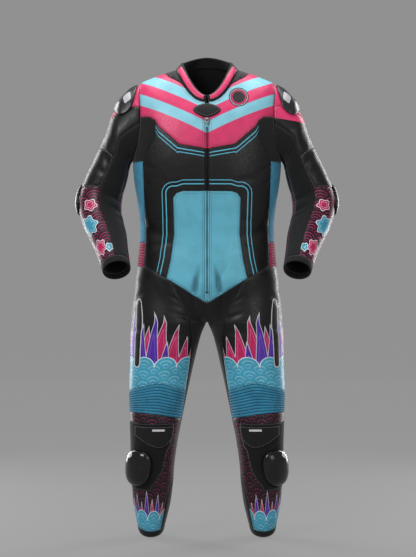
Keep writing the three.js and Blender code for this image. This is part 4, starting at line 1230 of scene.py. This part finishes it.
PANEL = {"thick": 1.5, "back": 0.475}
TAB = {"thick": 3, "inner": 92, "outer": 207}
SLIDER = {"turn": 0.366, "height": -1152, "turns": 0.108, "heights": 52, "power": 2.6, "lean": 0.0004,
          "edge": 5, "middle": 24}
CUP = {"turns": 0.16, "middle": 30, "alongs": 26, "power": 2.4, "edge": 3, "thick": 12}
ELBOW = {"turn": -0.03, "turns": 0.075, "along": 262, "alongs": 36, "power": 2.6, "edge": 4, "middle": 10}
GARAGE = {"z": -125, "half": 40, "heights": 21, "across": 1.35, "up": 1.7, "edge": 3.5, "middle": 6.5}
DOME = 0.6


def slider_place(turn, height):
    """Shares across and up from the middle of the knee slider to its edge."""
    up = (height - SLIDER["height"]) / SLIDER["heights"]
    return (turn - SLIDER["turn"] + (height - SLIDER["height"]) * SLIDER["lean"]) / SLIDER["turns"], up


def slider_share(turn, height):
    across, up = slider_place(turn, height)
    return np.abs(across) ** SLIDER["power"] + np.abs(up) ** SLIDER["power"]


def cup_place(turn, along):
    return turn / CUP["turns"], (along - CUP["middle"]) / CUP["alongs"]


def cup_share(turn, along):
    across, up = cup_place(turn, along)
    return np.abs(across) ** CUP["power"] + np.abs(up) ** CUP["power"]


def elbow_share(turn, along):
    return (np.abs((turn - ELBOW["turn"]) / ELBOW["turns"]) ** ELBOW["power"]
            + np.abs((along - ELBOW["along"]) / ELBOW["alongs"]) ** ELBOW["power"])


def garage_share(x, height):
    centre = z_of(np.zeros(len(x)), height)
    return (np.abs(x / GARAGE["half"]) ** GARAGE["across"]
            + np.abs((centre - GARAGE["z"]) / GARAGE["heights"]) ** GARAGE["up"])


def dome(share, edge, middle):
    """A piece that is thickest in its middle and steep at its edge."""
    def relief(turn, height, away):
        return edge + (middle - edge) * (1 - np.minimum(share(turn, height), 1)) ** DOME
    return relief


def facets(turn, along, away):
    """The shoulder cup: a flat top with six sloping facets round it."""
    across, up = cup_place(turn, along)
    ring = np.maximum(np.abs(across), np.abs(across) / 2 + 0.87 * np.abs(up))
    return CUP["edge"] + (CUP["thick"] - CUP["edge"]) * np.clip(2.1 * (1 - ring), 0, 1)


def hard(base, make, surface, material, **options):
    for side, word in ((1, "left"), (-1, "right")):
        node = f"{base}_{word}"
        attach(sew(node + "_shell", make(), surface, material, side=side, lining=None, **options), node)


class SUIT_OT_hard_pieces(bpy.types.Operator):
    """Knee sliders, shoulder cups and elbow sliders"""
    bl_idname = "suit.hard_pieces"
    bl_label = "Hard pieces"
    bl_options = {"REGISTER", "UNDO"}

    def execute(self, context):
        hard("knee_slider", lambda: shaped((0.24, 0.49), (-1208, -1096), 3, [
            lambda t, h: 1 - slider_share(t, h)]), body, "plastic_black", paint=slider_paint,
            relief=dome(slider_share, SLIDER["edge"], SLIDER["middle"]), lift=2 * LIFT + PANEL["thick"],
            thick=4, roll=(1.5, 3))
        hard("shoulder_cup", lambda: shaped((-0.17, 0.17), (3, 57), 3, [
            lambda t, h: 1 - cup_share(t, h)], wide=SLEEVE_WIDE), sleeve, "plastic_grey", paint=cup_paint,
            relief=facets, lift=LIFT + 1, thick=2.5, roll=(1, 3), wide=SLEEVE_WIDE)
        hard("elbow_slider", lambda: shaped((-0.11, 0.05), (224, 300), 3, [
            lambda t, h: 1 - elbow_share(t, h)], wide=SLEEVE_WIDE), sleeve, "plastic_black_with_plate",
            relief=dome(elbow_share, ELBOW["edge"], ELBOW["middle"]), lift=LIFT, thick=3, roll=(1, 3),
            wide=SLEEVE_WIDE, paint=elbow_paint)
        return {"FINISHED"}


class SUIT_OT_sleeves(bpy.types.Operator):
    """Shoulder panels, sleeves, forearms and cuffs"""
    bl_idname = "suit.sleeves"
    bl_label = "Sleeves"
    bl_options = {"REGISTER", "UNDO"}

    def execute(self, context):
        cell, fine = sizes().cell / MM, sizes().print_cell / MM
        outer = (SLEEVE_BACK - 1, SLEEVE_FRONT)
        shared = {"creases": SLEEVE_CREASES, "wide": SLEEVE_WIDE}
        both("shoulder_panel", lambda: shaped((-0.19, 0.19), (0.5, 112), 4, [
            lambda t, h: shoulder_edge(t) - h], SLEEVE_WIDE), sleeve, "leather_pink", **shared)
        both("sleeve_upper", lambda: shaped(outer, (0.5, 160), cell, [
            lambda t, h: h - shoulder_edge(t), lambda t, h: cross_edge(t) - h], SLEEVE_WIDE), sleeve,
            "leather_black_over_pink", paint=wedge_paint, **shared)
        both("sleeve_middle", lambda: shaped(outer, (112, 254), cell, [
            lambda t, h: h - cross_edge(t), lambda t, h: elbow_edge(t) - h], SLEEVE_WIDE), sleeve,
            "leather_black_pale_thread", **shared)
        both("forearm", lambda: shaped(outer, (222, CUFF[0]), fine, [
            lambda t, h: h - elbow_edge(t)], SLEEVE_WIDE), sleeve, "leather_printed_forearm",
            paint=forearm_paint, **shared)
        both("sleeve_inner", lambda: shaped((SLEEVE_FRONT, SLEEVE_BACK), (0.5, CUFF[0]), cell, [],
                                            SLEEVE_WIDE), sleeve, "knit_black", **shared)
        both("cuff", lambda: shaped((0, 1), CUFF, 4, [], SLEEVE_WIDE), sleeve, "knit_black", weld=True,
             roll=(0.8, 4), wide=SLEEVE_WIDE)
        return {"FINISHED"}


class SUIT_OT_neck(bpy.types.Operator):
    """Stand collar, its padded inlays and the stretch gussets under it"""
    bl_idname = "suit.neck"
    bl_label = "Neck"
    bl_options = {"REGISTER", "UNDO"}

    def execute(self, context):
        flat = lattice((0.006, 1.994), (-0.05, 1), 0.014, 0.1)
        cloth("collar", flat, collar, "knit_black", reach=0.05, thick=4, roll=(1.2, 4), wide=300)

        def padded():
            flat = lattice((0.02, 0.4), (0.08, 0.92), 0.01, 0.045)
            return cut(flat, lambda turn, share: 1.2 - share - turn)

        for side, word in ((1, "left"), (-1, "right")):
            node = f"collar_inlay_{word}"
            pad = sew(node + "_pad", padded(), collar, "leather_pink_piped", side=side, reach=0.05, wide=300,
                      lift=LIFT + 2.5, thick=2.5, roll=(2.2, 7), lining=None,
                      relief=lambda turn, share, edge: 2.5 * np.sin(math.pi * share))
            attach(pad, node)
        both("neck_gusset", lambda: shaped((1 / 6, 5 / 6), (-14, 5), 4, [minus(under_gusset)]), body,
             "knit_grey", roll=(0.8, 4))
        return {"FINISHED"}


# The main zip: heights of its ends, where its teeth stop, and the size and pitch of a tooth
ZIP = {"top": -22, "bottom": -677, "start": -146, "stop": -646, "pitch": 2.6, "raised": 1.4}
TOOTH = (2.9, 1.8, 1.5)
STOP = (8, 2.6, 3)


def on_zip(level, aside=0.0):
    """The frame of a place on the teeth, turned to the chest's own slope."""
    spot = centre_band(np.array([0.0]), np.array([level]))[0]
    facing = outward(centre_band, np.array([0.0]), np.array([level]))[0]
    tilt = math.atan2(facing[2], -facing[1])
    return (Matrix.Translation(Vector(spot) + Vector(facing) * ZIP["raised"]) @ Matrix.Rotation(-tilt, 4, "X")
            @ Matrix.Translation((aside, 0, 0)))


class SUIT_OT_fastening(bpy.types.Operator):
    """Main zip with its teeth, the garage, the slider and the pull"""
    bl_idname = "suit.fastening"
    bl_label = "Zip"
    bl_options = {"REGISTER", "UNDO"}

    def execute(self, context):
        flat = lattice((-ZIP_HALF, ZIP_HALF), (ZIP["bottom"], ZIP["top"]), 1.2, 6)
        cloth("zip", flat, centre_band, "tape_polyester", roll=(0.4, 2), wide=1, paint=tape_paint)
        teeth = bmesh.new()
        count = int((ZIP["start"] - ZIP["stop"]) / ZIP["pitch"])
        for k in range(count):
            place = on_zip(ZIP["start"] - k * ZIP["pitch"], 0.7 if k % 2 else -0.7)
            bmesh.ops.create_cube(teeth, size=1, matrix=place @ Matrix.Diagonal((*TOOTH, 1)))
        bmesh.ops.create_cube(teeth, size=1, matrix=on_zip(ZIP["stop"] - 2) @ Matrix.Diagonal((*STOP, 1)))
        bmesh.ops.bevel(teeth, geom=teeth.edges[:], offset=0.3, segments=1, profile=0.5, affect="EDGES",
                        material=-1)
        bmesh.ops.scale(teeth, vec=(MM, MM, MM), verts=teeth.verts)
        row = finished("zip_teeth", teeth, ["zinc_black"])
        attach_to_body(row, "suit")
        garage = lattice((-GARAGE["half"], GARAGE["half"]), (-160, 5), 2, 2.4)
        cut(garage, lambda x, h: 1 - garage_share(x, h))
        cover = sew("zip_garage_pad", garage, centre_band, "garage_cloth", lift=LIFT, thick=3, roll=(1.5, 4),
                    relief=dome(garage_share, GARAGE["edge"], GARAGE["middle"]), lining=None, wide=1)
        attach(cover, "zip_garage")
        for node, body_name in (("zip_slider", "suit"), ("zip_pull", "pull")):
            bm = bmesh.new()
            bm.from_mesh(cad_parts[node].data)
            bmesh.ops.remove_doubles(bm, verts=bm.verts, dist=1e-6)
            bmesh.ops.dissolve_limit(bm, angle_limit=0.02, verts=bm.verts, edges=bm.edges)
            sharp = [e for e in bm.edges if e.is_manifold and e.calc_face_angle() > 0.6]
            bmesh.ops.bevel(bm, geom=sharp, offset=0.00035, segments=2, profile=0.5, affect="EDGES",
                            material=-1)
            attach(finished(node + "_metal", bm, ["zinc_nickel"]), node, body_name)
        return {"FINISHED"}


# The paper sweep, in metres: how far it lies flat all round, its bend, its full run and its floor
SWEEP = {"flat": 7.5, "bend": 1.5, "run": 15, "floor": -1.3735}
# Name, place, aim, size in metres and power in watts
LIGHTS = [
    ("key", (-2.0, -3.2, 1.7), (0, 0, -0.6), (1.6, 1.4), 84),
    ("fill", (2.0, -3.4, 0.2), (0, 0, -0.7), (1.6, 1.8), 24),
    ("rim_left", (1.6, 1.6, -0.2), (0.2, 0, -0.55), (0.5, 2.2), 34),
    ("rim_right", (-1.6, 1.6, -0.2), (-0.2, 0, -0.55), (0.5, 2.2), 34),
    ("top", (0, 0.2, 1.9), (0, 0, -0.4), (1.6, 1.2), 45),
]


class SUIT_OT_stage(bpy.types.Operator):
    """Pale seamless studio paper, soft lights and the camera"""
    bl_idname = "suit.stage"
    bl_label = "Stage"
    bl_options = {"REGISTER", "UNDO"}

    def execute(self, context):
        bm = bmesh.new()
        # The sweep runs up all round, so that every side of the suit has the same paper behind it
        bmesh.ops.create_grid(bm, x_segments=96, y_segments=60, size=1)
        for v in bm.verts:
            round_turn = math.pi * v.co.x
            run = (v.co.y + 1) / 2 * SWEEP["run"]
            angle = min(max(run - SWEEP["flat"], 0) / SWEEP["bend"], math.pi / 2)
            after = max(run - SWEEP["flat"] - math.pi / 2 * SWEEP["bend"], 0)
            away = min(run, SWEEP["flat"]) + SWEEP["bend"] * math.sin(angle)
            v.co = (away * math.sin(round_turn), away * math.cos(round_turn),
                    SWEEP["floor"] + SWEEP["bend"] * (1 - math.cos(angle)) + after)
        bmesh.ops.remove_doubles(bm, verts=bm.verts, dist=0.0005)
        for f in bm.faces:
            f.smooth = True
        # Paper lit from behind as well, so that it stays one even grey
        tree, shader = surface_of("studio_paper", Roughness=0.9, Emission_Color=linear("#949494"),
                                  Emission_Strength=0.9)
        grain = put(tree, "TexNoise", put(tree, "TexCoord", out=3), sockets={"Scale": 3.0, "Detail": 2.0})
        paper = put(tree, "MixRGB", grain, linear("#2C2C2C"), linear("#303030"))
        tree.links.new(paper, shader.inputs["Base Color"])
        finished("studio_floor", bm, ["studio_paper"])
        world = bpy.data.worlds.new("studio_air")
        context.scene.world = world
        world.use_nodes = True
        world.node_tree.nodes["Background"].inputs[0].default_value = linear("#B9BCC0")
        world.node_tree.nodes["Background"].inputs[1].default_value = 0.5
        for label, at, aim, size, power in LIGHTS:
            lamp = bpy.data.lights.new(label, "AREA")
            lamp.shape = "RECTANGLE"
            lamp.size, lamp.size_y = size
            lamp.energy = power
            holder = bpy.data.objects.new(label, lamp)
            holder.location = at
            holder.rotation_euler = (Vector(aim) - Vector(at)).to_track_quat("-Z", "Y").to_euler()
            context.scene.collection.objects.link(holder)
        lens = bpy.data.cameras.new("studio_camera")
        lens.sensor_fit = "VERTICAL"
        lens.sensor_height = 24
        lens.lens = 73.03
        holder = bpy.data.objects.new("studio_camera", lens)
        holder.location = (0.003, -5.0, -0.609)
        holder.rotation_euler = (math.pi / 2, 0, 0)
        context.scene.collection.objects.link(holder)
        context.scene.camera = holder
        context.scene.view_settings.view_transform = "Standard"
        return {"FINISHED"}


class SuitSizes(bpy.types.PropertyGroup):
    """Sizes that a user would change"""
    cell: bpy.props.FloatProperty(
        name="Cloth cell", description="Mesh cell of plain leather and cloth", default=0.0065, min=0.002,
        subtype="DISTANCE")
    print_cell: bpy.props.FloatProperty(
        name="Print cell", description="Mesh cell of printed leather", default=0.003, min=0.002,
        subtype="DISTANCE")
    waist_ribs: bpy.props.IntProperty(
        name="Waist ribs", description="Ribs of the waist stretch", default=9, min=2)
    knee_ribs: bpy.props.IntProperty(
        name="Knee ribs", description="Ribs of the knee stretch", default=10, min=2)


def colour_of(name, use, tone):
    return bpy.props.FloatVectorProperty(name=name, description=use, subtype="COLOR", size=4, min=0, max=1,
                                         default=linear(tone))


class SuitColours(bpy.types.PropertyGroup):
    """Colours that a user would change"""
    black: colour_of("Black leather", "Main leather of body, seat, sleeves and thighs", "#0D0D0E")
    pink: colour_of("Pink leather", "Chest yoke, shoulders and collar inlays", "#E3396F")
    sky: colour_of("Sky bands", "Bands over the chest yoke", "#8CD2E4")
    belly: colour_of("Belly leather", "Blue leather of the belly", "#68BDD5")
    lines: colour_of("Line print", "Thin lines on the front body", "#5BBAD6")
    rib_pink: colour_of("Waist stretch", "Ribbed stretch of the waist", "#C02E60")
    rib_blue: colour_of("Knee stretch", "Ribbed stretch of the knees", "#2A86AB")
    mesh_blue: colour_of("Side mesh", "Mesh of the sides", "#3A8CB0")
    grey: colour_of("Grey stretch", "Neck gussets", "#29292B")
    violet: colour_of("Violet print", "Tall shards on the legs", "#5427A8")
    crimson: colour_of("Crimson print", "Short shards and round motifs", "#C81F62")
    cyan: colour_of("Cyan print", "Waves and round motifs", "#45A9C8")
    plastic: colour_of("Black plastic", "Knee sliders and elbow rims", "#0E0E10")
    cup: colour_of("Shoulder cup", "Grey plastic of the shoulder cups", "#232326")
    metal: colour_of("Zip metal", "Zip slider and pull", "#9FA2A6")


class SUIT_PT_pieces(bpy.types.Panel):
    """The suit's sizes, colours and pieces, in the order in which they are made"""
    bl_idname = "SUIT_PT_pieces"
    bl_label = "Race suit"
    bl_space_type = "VIEW_3D"
    bl_region_type = "UI"
    bl_category = "Race suit"

    def draw(self, context):
        for group in (context.scene.suit_sizes, context.scene.suit_colours):
            for key in group.__annotations__:
                self.layout.prop(group, key)
        for step in STEPS:
            self.layout.operator(step.bl_idname)


STEPS = [SUIT_OT_finishes, SUIT_OT_chest, SUIT_OT_back, SUIT_OT_legs, SUIT_OT_knees, SUIT_OT_hard_pieces,
         SUIT_OT_sleeves, SUIT_OT_neck, SUIT_OT_fastening, SUIT_OT_stage]
CLASSES = [SuitSizes, SuitColours, SUIT_PT_pieces, *STEPS]


def register():
    for made in CLASSES:
        bpy.utils.register_class(made)
    bpy.types.Scene.suit_sizes = bpy.props.PointerProperty(type=SuitSizes)
    bpy.types.Scene.suit_colours = bpy.props.PointerProperty(type=SuitColours)


def unregister():
    del bpy.types.Scene.suit_colours
    del bpy.types.Scene.suit_sizes
    for made in reversed(CLASSES):
        bpy.utils.unregister_class(made)


def main():
    register()
    for step in STEPS:
        group, name = step.bl_idname.split(".")
        getattr(getattr(bpy.ops, group), name)()


if __name__ == "__main__":
    main()
